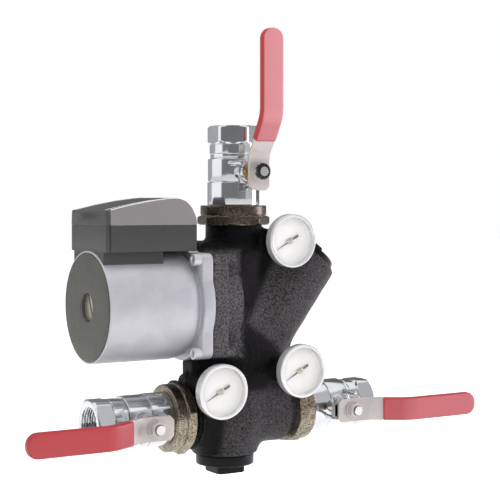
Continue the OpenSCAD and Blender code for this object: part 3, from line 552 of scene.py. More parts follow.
class Graph:
    """Adds nodes to a shader tree and links them."""

    def __init__(self, tree: bpy.types.NodeTree) -> None:
        """Keeps the tree that the nodes go into."""
        self.tree = tree

    @classmethod
    def fresh(cls, owner: bpy.types.Material | bpy.types.World) -> "Graph":
        """The graph of a material's or world's own tree, emptied first."""
        owner.use_nodes = True
        owner.node_tree.nodes.clear()
        return cls(owner.node_tree)

    def feed(self, socket: bpy.types.NodeSocket, value: object) -> None:
        """Links an input to an output socket, or gives it a value of its own."""
        if isinstance(value, bpy.types.NodeSocket):
            self.tree.links.new(value, socket)
        else:
            socket.default_value = value

    def add(self, kind: str, inputs: dict | None = None, **settings: object) -> bpy.types.Node:
        """Adds one node.

        Args:
            kind: the node's type name.
            inputs: values or output sockets for its inputs, by name or number.
            settings: its other properties.

        Returns:
            The node.
        """
        node = self.tree.nodes.new(kind)
        for key, value in settings.items():
            setattr(node, key, value)
        for key, value in (inputs or {}).items():
            self.feed(node.inputs[key], value)
        return node

    def place(self) -> bpy.types.NodeSocket:
        """The object's own coordinates."""
        return self.add("ShaderNodeTexCoord").outputs["Object"]

    def blend(self, factor: object, first: object, second: object) -> bpy.types.NodeSocket:
        """The colour (1 - factor)·first + factor·second."""
        mix = self.add("ShaderNodeMix", data_type="RGBA")
        wanted = (("Factor", "VALUE", factor), ("A", "RGBA", first), ("B", "RGBA", second))
        for name, kind, value in wanted:
            socket = next(s for s in mix.inputs if s.name == name and s.type == kind)
            self.feed(socket, (*value, 1.0) if isinstance(value, tuple) else value)
        return next(s for s in mix.outputs if s.type == "RGBA")

    def seen_and_glossy(self) -> tuple[bpy.types.NodeSocket, bpy.types.NodeSocket]:
        """Whether a ray shows the surface directly or through glass, and whether in gloss."""
        rays = self.add("ShaderNodeLightPath").outputs
        seen = self.maths("MAXIMUM", rays["Is Camera Ray"], rays["Is Transmission Ray"])
        return seen, rays["Is Glossy Ray"]

    def maths(self, operation: str, *values: object) -> bpy.types.NodeSocket:
        """The result of a Math node on the given values or sockets."""
        node = self.add("ShaderNodeMath", operation=operation)
        for socket, value in zip(node.inputs, values):
            self.feed(socket, value)
        return node.outputs[0]

    def span(
        self, value: object, low: float, high: float, to_low: float = 0.0, to_high: float = 1.0
    ) -> bpy.types.NodeSocket:
        """The value carried from one span to another along a smooth step."""
        node = self.add("ShaderNodeMapRange", interpolation_type="SMOOTHSTEP")
        for socket, item in zip(node.inputs, (value, low, high, to_low, to_high)):
            self.feed(socket, item)
        return node.outputs[0]


class Effects:
    """Node groups that several finishes share."""

    def __init__(self) -> None:
        """Builds the groups once."""
        self.grain = self._grain()
        self.wear = self._wear()
        self.scratches = self._scratches()

    @staticmethod
    def _group(name: str, inputs: dict[str, float], outputs: tuple[str, ...]) -> tuple:
        """Starts a group with its sockets.

        Args:
            name: the group's name.
            inputs: its number inputs with their first values.
            outputs: names of its number outputs.

        Returns:
            The group's graph, its input node and its output node.
        """
        graph = Graph(bpy.data.node_groups.new(name, "ShaderNodeTree"))
        for label, value in inputs.items():
            socket = graph.tree.interface.new_socket(
                label, in_out="INPUT", socket_type="NodeSocketFloat"
            )
            socket.default_value = value
        for label in outputs:
            graph.tree.interface.new_socket(
                label, in_out="OUTPUT", socket_type="NodeSocketFloat"
            )
        return graph, graph.add("NodeGroupInput"), graph.add("NodeGroupOutput")

    def _grain(self) -> bpy.types.NodeTree:
        """Two sizes of noise and scattered specks over Object coordinates."""
        graph, entry, leave = self._group(
            "skin_grain", {"Fine scale": 900.0, "Broad scale": 40.0}, ("Fine", "Broad", "Specks")
        )
        place = graph.place()
        for label, detail, roughness in (("Fine", 4.0, 0.6), ("Broad", 3.0, 0.5)):
            scale = entry.outputs[f"{label} scale"]
            noise = graph.add(
                "ShaderNodeTexNoise",
                {"Vector": place, "Scale": scale, "Detail": detail, "Roughness": roughness},
            )
            graph.feed(leave.inputs[label], noise.outputs[0])
        cells = graph.add(
            "ShaderNodeTexVoronoi", {"Vector": place, "Scale": entry.outputs["Fine scale"]}
        )
        specks = graph.span(cells.outputs["Distance"], 0.05, 0.32, 1.0, 0.0)
        graph.feed(leave.inputs["Specks"], specks)
        return graph.tree

    def _wear(self) -> bpy.types.NodeTree:
        """A mask of edges that hands and tools have rubbed, broken up by noise."""
        graph, entry, leave = self._group("edge_wear", {"Width": 0.0008, "Amount": 0.6}, ("Mask",))
        eased = graph.add("ShaderNodeBevel", {"Radius": entry.outputs["Width"]}, samples=4)
        plain = graph.add("ShaderNodeNewGeometry")
        alike = graph.add(
            "ShaderNodeVectorMath",
            {0: eased.outputs[0], 1: plain.outputs["Normal"]},
            operation="DOT_PRODUCT",
        )
        edge = graph.span(alike.outputs["Value"], 0.72, 0.995, 1.0, 0.0)
        noise = graph.add(
            "ShaderNodeTexNoise", {"Vector": graph.place(), "Scale": 260.0, "Detail": 3.0}
        )
        broken = graph.span(noise.outputs[0], *MIDDLE_NOISE, 0.2, 1.0)
        mask = graph.maths("MULTIPLY", edge, broken)
        mask = graph.maths("MULTIPLY", mask, entry.outputs["Amount"])
        graph.feed(leave.inputs["Mask"], mask)
        return graph.tree

    def _scratches(self) -> bpy.types.NodeTree:
        """Fine lines drawn out along one direction, for brushed and rolled metal."""
        graph, entry, leave = self._group("fine_scratches", {"Scale": 300.0}, ("Lines",))
        stretch = graph.add(
            "ShaderNodeMapping", {"Vector": graph.place(), "Scale": (0.06, 1.0, 1.0)}
        )
        noise = graph.add(
            "ShaderNodeTexNoise",
            {
                "Vector": stretch.outputs[0],
                "Scale": entry.outputs["Scale"],
                "Detail": 5.0,
                "Roughness": 0.7,
            },
        )
        graph.feed(leave.inputs["Lines"], noise.outputs[0])
        return graph.tree


@dataclass(frozen=True)
class Finish:
    """One finish: its tones, gloss, skin and the wear of its edges."""

    name: str
    colour: Colour
    drift: Colour
    roughness: tuple[float, float]
    metallic: float = 0.0
    relief: Relief = Relief.MOULDED
    fine: float = 900.0
    broad: float = 40.0
    bump: float = 0.15
    depth: float = 0.0002
    wear_and_highlight_colour: Colour | None = None
    wear: float = 0.0
    edge: float = 0.0004
    coat: float = 0.0
    coat_roughness: float = 0.1
    specular: float = 0.5
    speck_colour: Colour | None = None
    speck: float = 0.0
    alpha: float = 1.0
    pale_colour: Colour | None = None

    def material(self, effects: Effects) -> bpy.types.Material:
        """Builds the finish's material.

        Args:
            effects: the shared node groups.

        Returns:
            A new material.
        """
        material = bpy.data.materials.new(self.name)
        graph = Graph.fresh(material)
        grain = graph.add(
            "ShaderNodeGroup",
            {"Fine scale": self.fine, "Broad scale": self.broad},
            node_tree=effects.grain,
        )
        bump = graph.add(
            "ShaderNodeBump",
            {
                "Strength": self.bump,
                "Distance": self.depth,
                "Height": self._height(graph, grain, effects),
                "Normal": graph.add("ShaderNodeBevel", {"Radius": self.edge}, samples=4).outputs[0],
            },
        )
        shader = graph.add(
            "ShaderNodeBsdfPrincipled",
            {
                "Base Color": self._tones(graph, grain, effects),
                "Roughness": graph.span(grain.outputs["Fine"], 0.3, 0.7, *self.roughness),
                "Metallic": self.metallic,
                "Coat Weight": self.coat,
                "Coat Roughness": self.coat_roughness,
                "Specular IOR Level": self.specular,
                "Alpha": self.alpha,
                "Normal": bump.outputs[0],
            },
        )
        graph.add("ShaderNodeOutputMaterial", {"Surface": shader.outputs[0]})
        return material

    def _tones(
        self, graph: Graph, grain: bpy.types.Node, effects: Effects
    ) -> bpy.types.NodeSocket:
        """The colour: the two tones, the pale zones, pits, specks and rubbed edges over them, with painted sheen,
        reflection, highlight and shade on some pieces.

        Args:
            graph: the material's graph.
            grain: the grain group's node.
            effects: the shared node groups.

        Returns:
            A colour socket.
        """
        fine = grain.outputs["Fine"]
        cast = self.relief is Relief.CAST
        colour = graph.blend(
            graph.span(grain.outputs["Broad"], *MIDDLE_NOISE), self.colour, self.drift
        )
        if self.pale_colour is not None:
            paleness = graph.add("ShaderNodeAttribute", attribute_name="pale").outputs["Fac"]
            colour = graph.blend(graph.span(paleness, 0.0, 1.0), colour, self.pale_colour)
            # A paleness below zero paints the shade of the lid's channels.
            colour = graph.blend(graph.span(paleness, -1.0, -0.2, 1.0, 0.0), colour, CHANNEL_SHADE_TONE)
            # A paleness of 2 gives the wear and highlight tone, a painted highlight on the lid's rims.
            if self.wear_and_highlight_colour is not None:
                colour = graph.blend(graph.span(paleness, 1.2, 1.8), colour, self.wear_and_highlight_colour)
        if cast:
            colour = graph.blend(graph.span(fine, 0.4, 0.56, 0.75, 0.0), colour, PIT_TONE)
        # On the casting these specks are painted glints on its grain, shown most in its pale zones.
        if self.speck_colour is not None:
            patchy = graph.maths("MULTIPLY", grain.outputs["Specks"], graph.span(fine, 0.4, 0.7))
            if cast:
                paleness = graph.add("ShaderNodeAttribute", attribute_name="pale").outputs["Fac"]
                shown = graph.span(paleness, 0.0, 0.7, 0.2, 1.0)
                patchy = graph.maths("MULTIPLY", patchy, shown)
            amount = graph.maths("MULTIPLY", patchy, self.speck)
            colour = graph.blend(amount, colour, self.speck_colour)
        if self.wear_and_highlight_colour is not None:
            narrowest = 0.0006  # metres
            width = max(self.edge * 2, narrowest)
            worn = graph.add(
                "ShaderNodeGroup", {"Width": width, "Amount": self.wear}, node_tree=effects.wear
            )
            colour = graph.blend(worn.outputs["Mask"], colour, self.wear_and_highlight_colour)
        return colour

    def _height(
        self, graph: Graph, grain: bpy.types.Node, effects: Effects
    ) -> bpy.types.NodeSocket:
        """The height that the bump follows, by kind of skin.

        Args:
            graph: the material's graph.
            grain: the grain group's node.
            effects: the shared node groups.

        Returns:
            A number socket.
        """
        if self.relief is Relief.CAST:
            pits = graph.maths("MULTIPLY", grain.outputs["Specks"], 0.35)
            noise = graph.maths("ADD", grain.outputs["Fine"], grain.outputs["Broad"])
            return graph.maths("ADD", noise, pits)
        if self.relief is Relief.BRUSHED:
            lines = graph.add("ShaderNodeGroup", {"Scale": self.fine}, node_tree=effects.scratches)
            return lines.outputs["Lines"]
        if self.relief in (Relief.THREADED, Relief.LAMINATED):
            split = graph.add("ShaderNodeSeparateXYZ", {0: graph.place()})
            axis = "Y" if self.relief is Relief.THREADED else "X"
            wave = graph.maths("SINE", graph.maths("MULTIPLY", split.outputs[axis], self.fine))
            return graph.maths("ADD", wave, grain.outputs["Broad"])
        if self.relief is Relief.BLASTED:
            return graph.maths("ADD", grain.outputs["Fine"], grain.outputs["Specks"])
        return grain.outputs["Fine"]


def finishes() -> dict[str, Finish]:
    """Every finish of the group by its name, which is the record's material slot."""
    table = [
        # Painted glints: the casting's light specks stand in for the sparkle of its grainy skin.
        Finish(
            "cast_iron_black", tone(6, 6, 6), tone(12, 12, 12), (0.3, 0.46), relief=Relief.CAST,
            fine=640.0, broad=170.0, bump=1.0, depth=0.0011, wear_and_highlight_colour=tone(130, 126, 130),
            wear=0.8, edge=0.0009, speck_colour=tone(186, 180, 186), speck=0.5, specular=0.1,
            pale_colour=tone(98, 95, 97),
        ),
        Finish(
            "plug_black", tone(5, 5, 5), tone(9, 9, 9), (0.25, 0.4), fine=700.0, bump=0.2,
            wear_and_highlight_colour=tone(60, 58, 56), wear=0.5, edge=0.0005, specular=0.2,
        ),
        Finish("seal_rubber", tone(24, 24, 24), tone(34, 34, 34), (0.7, 0.85), fine=1200.0),
        Finish(
            "brass", tone(196, 160, 92), tone(178, 142, 80), (0.22, 0.4), metallic=1.0,
            relief=Relief.BRUSHED, wear_and_highlight_colour=tone(226, 196, 140), wear=0.4,
        ),
        Finish(
            "spring_steel", tone(170, 172, 174), tone(140, 142, 146), (0.25, 0.4), metallic=1.0,
            relief=Relief.BRUSHED,
        ),
        Finish(
            "motor_aluminium", tone(198, 199, 203), tone(190, 191, 196), (0.42, 0.56), metallic=0.5,
            relief=Relief.BLASTED, fine=700.0, broad=60.0, bump=0.35, depth=0.0002,
            wear_and_highlight_colour=tone(232, 234, 238), wear=0.5, edge=0.0008,
            speck_colour=tone(190, 194, 200), speck=0.5,
        ),
        Finish(
            "disc_grey", tone(82, 82, 75), tone(76, 76, 70), (0.38, 0.5), metallic=0.25,
            relief=Relief.BRUSHED, fine=500.0, bump=0.08, wear_and_highlight_colour=tone(200, 202, 206), wear=0.9,
            edge=0.0005,
        ),
        Finish(
            "nickel", tone(192, 188, 172), tone(176, 172, 156), (0.25, 0.4), metallic=0.75,
            relief=Relief.BRUSHED, fine=420.0, bump=0.1,
        ),
        Finish(
            "dark_steel", tone(84, 80, 82), tone(52, 50, 52), (0.25, 0.45), metallic=0.9,
            wear_and_highlight_colour=tone(190, 188, 186), wear=0.8,
        ),
        Finish(
            "lamination", tone(120, 118, 116), tone(88, 86, 86), (0.4, 0.6), metallic=0.8,
            relief=Relief.LAMINATED, fine=9000.0,
        ),
        Finish("ceramic", tone(206, 202, 194), tone(186, 182, 176), (0.25, 0.4), fine=600.0),
        Finish(
            "stainless", tone(214, 214, 220), tone(204, 204, 210), (0.3, 0.45), metallic=0.55,
            relief=Relief.BRUSHED, bump=0.06,
        ),
        Finish("impeller_plastic", tone(214, 206, 188), tone(200, 190, 170), (0.4, 0.55)),
        Finish(
            "box_plastic", tone(57, 57, 57), tone(54, 54, 54), (0.34, 0.48), fine=1600.0, bump=0.12,
            wear_and_highlight_colour=tone(112, 112, 114), wear=0.45, edge=0.0006,
        ),
        # Painted highlight: the lid's near-white wear tone lights its eased edges and rims.
        Finish(
            "lid_plastic", tone(68, 69, 70), tone(63, 64, 65), (0.3, 0.44), fine=1600.0,
            bump=0.12, wear_and_highlight_colour=tone(236, 234, 236), wear=0.3, edge=0.0005,
            pale_colour=tone(130, 127, 128),
        ),
        Finish("block_plastic", tone(214, 210, 200), tone(198, 194, 184), (0.35, 0.5)),
        # Painted reflection: the nuts' dark pale tone darkens them where they are marked.
        Finish(
            "union_nickel", tone(184, 172, 152), tone(160, 148, 128), (0.22, 0.4), metallic=0.8,
            relief=Relief.CAST, fine=900.0, broad=90.0, bump=0.16, depth=0.0003,
            wear_and_highlight_colour=tone(244, 240, 228), wear=1.0, edge=0.0007, speck_colour=tone(96, 82, 62),
            speck=0.2, pale_colour=tone(62, 52, 40),
        ),
        Finish("seat_white", tone(224, 222, 216), tone(210, 208, 204), (0.35, 0.5)),
        Finish(
            "valve_chrome", tone(224, 226, 228), tone(214, 217, 220), (0.05, 0.1), metallic=1.0,
            relief=Relief.POLISHED, fine=120.0, bump=0.02, depth=0.0003, edge=0.0004,
        ),
        Finish(
            "lever_steel", tone(200, 194, 190), tone(190, 184, 180), (0.32, 0.46), metallic=0.5,
            relief=Relief.BRUSHED, fine=380.0, bump=0.12, wear_and_highlight_colour=tone(232, 228, 226), wear=0.5,
            edge=0.0005,
        ),
        # Painted sheen: the grips' pale tone lightens the faces that look to the front.
        Finish(
            "grip_red", tone(174, 36, 42), tone(168, 34, 40), (0.34, 0.46), fine=1300.0, bump=0.1,
            coat=0.2, coat_roughness=0.3, edge=0.0005, wear_and_highlight_colour=tone(222, 110, 112), wear=0.4,
            pale_colour=tone(212, 136, 142),
        ),
        Finish(
            "bezel_chrome", tone(232, 232, 232), tone(222, 222, 222), (0.14, 0.24), metallic=0.55,
            relief=Relief.POLISHED, fine=120.0, bump=0.02, depth=0.0003, edge=0.0004,
        ),
        Finish(
            "dial_white", tone(250, 249, 246), tone(244, 243, 240), (0.45, 0.6), fine=500.0,
            bump=0.05,
        ),
        Finish(
            "gauge_glass", tone(252, 253, 253), tone(248, 250, 250), (0.03, 0.06), alpha=0.08,
            fine=60.0, bump=0.02,
        ),
        Finish("needle_dark", tone(66, 62, 58), tone(48, 46, 44), (0.35, 0.5), metallic=0.4),
        Finish(
            "stud_zinc", tone(222, 222, 220), tone(206, 206, 204), (0.1, 0.22), metallic=1.0,
            relief=Relief.THREADED, fine=2 * math.pi / STUD_PITCH, bump=0.5, depth=0.0002,
            edge=0.0004,
        ),
    ]
    return {finish.name: finish for finish in table}


class Wardrobe:
    """Keeps one material for each finish and puts it on pieces and CAD nodes."""

    def __init__(self) -> None:
        """Builds the shared groups and every material."""
        effects = Effects()
        self.materials = {name: finish.material(effects) for name, finish in finishes().items()}

    def wear(self, piece: bpy.types.Object, slot: str, body: str, *nodes: str) -> bpy.types.Object:
        """Dresses a new piece, puts it on the body that it moves with and hides the CAD nodes that it replaces.

        Args:
            piece: the new object.
            slot: the record's material slot.
            body: the CAD body that it moves with.
            nodes: CAD nodes that it replaces.

        Returns:
            The same object.
        """
        piece.data.materials.clear()
        piece.data.materials.append(self.materials[slot])
        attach(piece, body)
        if nodes:
            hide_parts(*nodes)
        LOG.info("%s: %d faces on %s", piece.name, len(piece.data.polygons), body)
        return piece

    def make(
        self,
        name: str,
        patches: list[Patch],
        placement: Placement | list[Placement],
        slot: str,
        node: str | None = None,
        body: str = ROOT,
        crease: float = CREASE,
    ) -> bpy.types.Object:
        """Draws a piece, as add_piece does, and dresses it, as wear does.

        Args:
            name: the piece's name.
            patches: closed surfaces in drawn millimetres.
            placement: where the drawing stands, or several such places.
            slot: the record's material slot.
            node: the CAD node that it replaces, if any.
            body: the CAD body that it moves with.
            crease: angle in degrees past which an edge stays sharp.

        Returns:
            The object.
        """
        piece = add_piece(name, patches, placement, crease)
        return self.wear(piece, slot, body, *([node] if node else []))

    def dress_nodes(self) -> None:
        """Gives every CAD node the material of its slot."""
        for part in frame["record"]["subparts"]:
            node = frame["nodes"][part["node"]]
            slot = "stud_zinc" if part["node"].endswith("_stem") else part["material_slot"]
            node.data.materials.clear()
            node.data.materials.append(self.materials[slot])
            first = np.zeros(len(node.data.polygons), dtype=np.int32)
            node.data.polygons.foreach_set("material_index", first)


# ---------- housing ----------


@dataclass(frozen=True)
class Field:
    """Signed distances to simple bodies in the housing's frame, in millimetres."""

    points: Points

    def rod(
        self, start: Points, axis: Points, radius: float, length: float, edge: float = 0.0
    ) -> Points:
        """Distance to a capped cylinder: the larger of radial and axial excess, with eased rims.

        Args:
            start: the middle of its first end.
            axis: its unit direction.
            radius: its radius.
            length: its length.
            edge: radius of the rims' easing.

        Returns:
            One distance for each point, negative inside.
        """
        away = self.points - start
        along = away @ axis
        radial = np.sqrt(np.maximum((away**2).sum(axis=-1) - along**2, 0.0))
        across = radial - radius + edge
        beyond = np.abs(along - length / 2) - length / 2 + edge
        outside = np.hypot(np.maximum(across, 0.0), np.maximum(beyond, 0.0))
        return outside + np.minimum(np.maximum(across, beyond), 0.0) - edge

    def brick(self, low: tuple, high: tuple, edge: float) -> Points:
        """Distance to a brick with eased edges: length of the positive excess on each axis.

        Args:
            low: its lowest corner.
            high: its highest corner.
            edge: radius of the easing.

        Returns:
            One distance for each point, negative inside.
        """
        low_corner, high_corner = np.array(low, dtype=float), np.array(high, dtype=float)
        middle, half = (low_corner + high_corner) / 2, (high_corner - low_corner) / 2
        excess = np.abs(self.points - middle) - half + edge
        outside = np.linalg.norm(np.maximum(excess, 0.0), axis=-1)
        return outside + np.minimum(excess.max(axis=-1), 0.0) - edge

    def reach(self, axis: int, side: float, at: float) -> Points:
        """Distance past a plane: side·(p[axis] - at), negative on the kept side."""
        return side * (self.points[..., axis] - at)


def joined(first: Points, second: Points, radius: float) -> Points:
    """Two distance fields with a fillet: mix(b, a, h) - k·h·(1 - h), h = clip(½ + (b - a)/2k)."""
    share = np.clip(0.5 + 0.5 * (second - first) / radius, 0.0, 1.0)
    return second * (1 - share) + first * share - radius * share * (1 - share)


@dataclass(frozen=True)
class Housing:
    """The cast iron housing: tubes, branches, pump pad and webs run together with fillets."""

    neck_r: float = 24.8
    neck_from: float = 60.0
    male_r: float = 23.85
    male_ease: float = 0.8
    male_rise: float = 9.0
    branch_r: float = 28.3
    branch_out: float = 45.0
    male_out: float = 61.0
    tube_r: float = 28.5
    tube_x: float = -8.7
    tube_low: float = -34.0
    tube_top: float = 95.0
    slant_r: float = 30.0
    slant_angle: float = 37.0
    slant_z: float = 36.0
    slant_len: float = 124.5
    rim_ease: float = 1.5
    pump_x: float = -44.0
    pump_z: float = 98.1
    pad_half: float = 44.1
    pad_len: float = 15.0
    drum: tuple[float, float] = (43.0, 30.0)
    volute: tuple[float, float] = (34.0, 36.0)
    bolt_at: float = 39.2
    lug: tuple[float, float] = (4.8, 22.0)
    channel_r: float = 13.0
    channel_front: float = 29.0
    channel_from: tuple[float, float] = (-34.0, 83.1)
    channel_to: tuple[float, float] = (38.0, 6.0)
    channel_foot: float = 2.0
    shoulder_half: float = 23.8
    shoulder_top: float = 151.4
    nut_rear: float = 52.0
    nut_room: tuple[float, float] = (36.0, 40.0)
    top_nut_rear: float = 165.5
    webs: tuple[tuple[tuple, tuple], ...] = (
        ((0, -12, 95), (48, 12, 146)),
        ((-46, -10, 10), (-10, 10, 48.3)),
        ((-43, -14, 10), (-11, 14, 65)),
        ((20, -14, 10), (50, 14, 62)),
        ((18.5, -9, 122.3), (26.5, 9, 150.3)),
    )
    left_lug: tuple[float, float, float] = (-51.0, 0.0, 27.3)
    boss_r: float = 9.5
    boss_front: float = 42.0
    boss_rear: float = 8.0
    gauges: tuple[tuple[float, float], ...] = ((26.5, 152.3), (-41.8, 27.6), (36.7, 40.0))
    way_r: float = 18.0
    chamber_r: float = 19.5
    plug_r: float = 20.95
    fillet: float = 11.0
    step: float = 1.6
    wave: float = 0.16
    pale_blur: float = 1.6

    @property
    def slant_axis(self) -> Points:
        """Direction of the slanted tube."""
        turn = math.radians(self.slant_angle)
        return spot(math.sin(turn), 0.0, math.cos(turn))

    def on_slant(self, along: float) -> Points:
        """The point at a distance along the slanted tube's axis."""
        return spot(0, 0, self.slant_z) + along * self.slant_axis

    @property
    def seat(self) -> Points:
        """The middle of the pump's seat."""
        return spot(self.pump_x, 0.0, self.pump_z)

    def outside(self, points: Points) -> Points:
        """Distance to the housing's outer skin.

        The tubes are joined with a broad fillet and the webs and bosses with smaller ones;
        a slow wave of sines gives the sand-cast skin its unevenness.

        Args:
            points: places in the housing's frame.

        Returns:
            One distance for each point.
        """
        f = Field(points)
        neck_len = self.top_nut_rear + 6 - self.neck_from
        start = spot(self.channel_from[0], self.channel_front, self.channel_from[1])
        run = spot(self.channel_to[0], self.channel_front, self.channel_to[1]) - start
        length = float(np.linalg.norm(run))
        foot = spot(self.channel_to[0], 0, self.channel_foot)
        tube_len = self.tube_top - self.tube_low
        body = f.rod(spot(self.tube_x, 0, self.tube_low), Z_AXIS, self.tube_r, tube_len, 2.0)
        grown = [(f.rod(spot(0, 0, self.neck_from), Z_AXIS, self.neck_r, neck_len), self.fillet)]
        for way in (-X_AXIS, X_AXIS):
            branch = f.rod(spot(0, 0, 0), way, self.branch_r, self.branch_out, self.rim_ease)
            grown.append((branch, self.fillet))
        slanted = (self.slant_axis, self.slant_r, self.slant_len, self.rim_ease)
        grown.append((f.rod(self.on_slant(0), *slanted), self.fillet + 3))
        grown.append((self._pump_side(f), 4.0))
        grown.append((f.rod(start, run / length, self.channel_r, length, 5.0), 8.0))
        grown.append((f.rod(foot, Y_AXIS, self.channel_r, self.channel_front, 5.0), 8.0))
        grown += [(f.brick(low, high, 2.5), 6.0) for low, high in self.webs]
        grown.append((f.rod(spot(*self.left_lug), X_AXIS, 10.0, 12.0, self.rim_ease), 4.0))
        boss_len = self.boss_front - self.boss_rear
        for across, up in self.gauges:
            rear = spot(across, -self.boss_rear, up)
            grown.append((f.rod(rear, -Y_AXIS, self.boss_r, boss_len, 1.2), 7.0))
        for distance, radius in grown:
            body = joined(body, distance, radius)
        x, y, z = np.moveaxis(points, -1, 0)
        wave = np.sin(0.23 * x + 1.3) * np.sin(0.19 * z + 0.4)
        wave = wave + 0.6 * np.sin(0.41 * y + 0.2 * z) * np.sin(0.37 * x - 0.11 * z)
        return self._trimmed(f, body + self.wave * (wave + 1.0))

    def _pump_side(self, f: Field) -> Points:
        """Distance to the square pad, its lugs, the volute drum and the shoulder."""
        half = self.pad_half
        low = (self.pump_x, -half, self.pump_z - half)
        pad = f.brick(low, (self.pump_x + self.pad_len, half, self.pump_z + half), 1.6)
        pad = joined(pad, f.rod(self.seat, X_AXIS, *self.drum, 1.4), 1.6)
        pad = joined(pad, f.rod(self.seat, X_AXIS, *self.volute, 1.6), 2.5)
        for across in (-self.bolt_at, self.bolt_at):
            for up in (-self.bolt_at, self.bolt_at):
                lug = f.rod(self.seat + spot(0.0, across, up), X_AXIS, *self.lug, 1.0)
                pad = joined(pad, lug, 1.5)
        low = (self.pump_x + 1, -self.shoulder_half, self.pump_z)
        shoulder = f.brick(low, (1.0, self.shoulder_half, self.shoulder_top), 4.0)
        return joined(pad, shoulder, 7.0)

    def _trimmed(self, f: Field, body: Points) -> Points:
        """The skin after its faces are machined flat and its three threads are added.

        Args:
            f: the points measured from.
            body: distance to the rough skin.

        Returns:
            One distance for each point.
        """
        pad_low = self.pump_z - self.pad_half - 1
        beside_seat = np.maximum(f.reach(0, 1.0, self.pump_x), f.reach(2, -1.0, pad_low))
        top = spot(0, 0, self.top_nut_rear)
        cuts = [
            (spot(self.tube_x, 0, self.tube_low), -Z_AXIS, 40.0, 30.0),
            (self.on_slant(self.slant_len), self.slant_axis, 45.0, 30.0),
            (top, Z_AXIS, *self.nut_room),
        ]
        cuts += [(self.nut_rear * way, way, *self.nut_room) for way in (-X_AXIS, X_AXIS)]
        cuts += [(spot(x, -self.boss_front, z), -Y_AXIS, 16.0, 20.0) for x, z in self.gauges]
        body = np.maximum(body, -beside_seat)
        for cut in cuts:
            body = np.maximum(body, -f.rod(*cut))
        top_len = self.top_nut_rear + self.male_rise - self.neck_from
        threads = [(spot(0, 0, 0), way, self.male_out) for way in (-X_AXIS, X_AXIS)]
        for start, way, length in [*threads, (spot(0, 0, self.neck_from), Z_AXIS, top_len)]:
            body = np.minimum(body, f.rod(start, way, self.male_r, length, self.male_ease))
        return body

    def waterways(self, points: Points) -> Points:
        """Distance to the bores: riser, pump volute and eye, thermostat and slanted chambers.

        Args:
            points: places in the housing's frame.

        Returns:
            One distance for each point, negative inside a bore.
        """
        f = Field(points)
        plug_rim = spot(self.tube_x, 0, self.tube_low - 1)
        bores = (
            (spot(0, 0, 125.0), Z_AXIS, self.way_r, 80.0),  # the riser's upper end
            (spot(self.tube_x, 0, 41.0), Z_AXIS, 14.0, 89.0),  # from the mixing chamber up
            (self.seat - X_AXIS, X_AXIS, 36.0, 20.0),  # the volute
            (self.seat, X_AXIS, 13.9, 35.3),  # the pump's eye
            (plug_rim, Z_AXIS, self.chamber_r, 71.0),  # the thermostat's chamber
            (plug_rim, Z_AXIS, self.plug_r, 15.0),  # its plug's thread
            (spot(self.tube_x, 0, 0.0), Z_AXIS, 13.5, 50.0),  # the poppet's seat
            (spot(0, 0, 0), -X_AXIS, self.way_r, 70.0),  # the left branch
            (spot(32.0, 0, 0), X_AXIS, self.way_r, 40.0),  # the right branch
            (self.on_slant(50), self.slant_axis, self.chamber_r, 80.0),  # the flap's chamber
            (self.on_slant(self.slant_len - 14), self.slant_axis, self.plug_r, 20.0),
            (self.on_slant(27), self.slant_axis, 9.0, 30.0),  # the bypass
        )
        return np.minimum.reduce([f.rod(*bore) for bore in bores])

    def distance(self, points: Points) -> Points:
        """Distance to the housing: its skin less its bores."""
        return np.maximum(self.outside(points), -self.waterways(points))

    def settle(self, points: Points) -> Points:
        """Moves points onto the surface with p - d·g/|g|², g being the field's slope.

        Args:
            points: places near the surface.

        Returns:
            The points after two such moves.
        """
        reach, most = 0.05, 0.6 * self.step
        for _ in range(2):
            value = self.distance(points)
            ends = [
                [self.distance(points + side * a) for side in (reach, -reach)]
                for a in (X_AXIS, Y_AXIS, Z_AXIS)
            ]
            slope = np.stack([(after - before) / (2 * reach) for after, before in ends], axis=-1)
            steepness = (slope**2).sum(axis=-1, keepdims=True) + 1e-6
            points = points - np.clip(value[:, None] * slope / steepness, -most, most)
        return points

    def mesh(self, low: Points, high: Points, place: Placement) -> bpy.types.Mesh:
        """Meshes the field: one point in each grid cell that the surface crosses.

        A cell's point is the mean of the crossings f0/(f0 - f1) on its twelve edges, and
        each crossed grid edge gives one face between its four cells.

        Args:
            low: lowest corner of the grid.
            high: highest corner of the grid.
            place: where the housing's frame stands.

        Returns:
            The mesh in metres.
        """
        around = 2 * self.step
        axes = [np.arange(a - around, b + around, self.step) for a, b in zip(low, high)]
        value = self.distance(np.stack(np.meshgrid(*axes, indexing="ij"), axis=-1))
        inside = value < 0
        shape = np.array(value.shape) - 1
        total, count = np.zeros((*shape, 3)), np.zeros(shape)
        for axis, way in enumerate(np.eye(3, dtype=int)):
            for sides in ((0, 0), (0, 1), (1, 0), (1, 1)):
                offset = np.insert(np.array(sides), axis, 0)
                start, end = (
                    tuple(slice(o, o + n) for o, n in zip(corner, shape))
                    for corner in (offset, offset + way)
                )
                crossed = inside[start] != inside[end]
                fall = value[start] - value[end] + 1e-12
                share = np.where(crossed, value[start] / fall, 0.0)[..., None]
                total += np.where(crossed[..., None], offset + share * way, 0.0)
                count += crossed
        active = count > 0
        number = np.full(shape, -1)
        number[active] = np.arange(int(active.sum()))
        cells = np.argwhere(active) + total[active] / count[active][:, None]
        points = self.settle(cells * self.step + np.array([a[0] for a in axes]))
        faces = np.concatenate([self._faces(inside, number, axis) for axis in range(3)])
        mesh = bpy.data.meshes.new("housing_skin")
        mesh.from_pydata(place.metres(points).tolist(), [], faces.tolist())
        return mesh

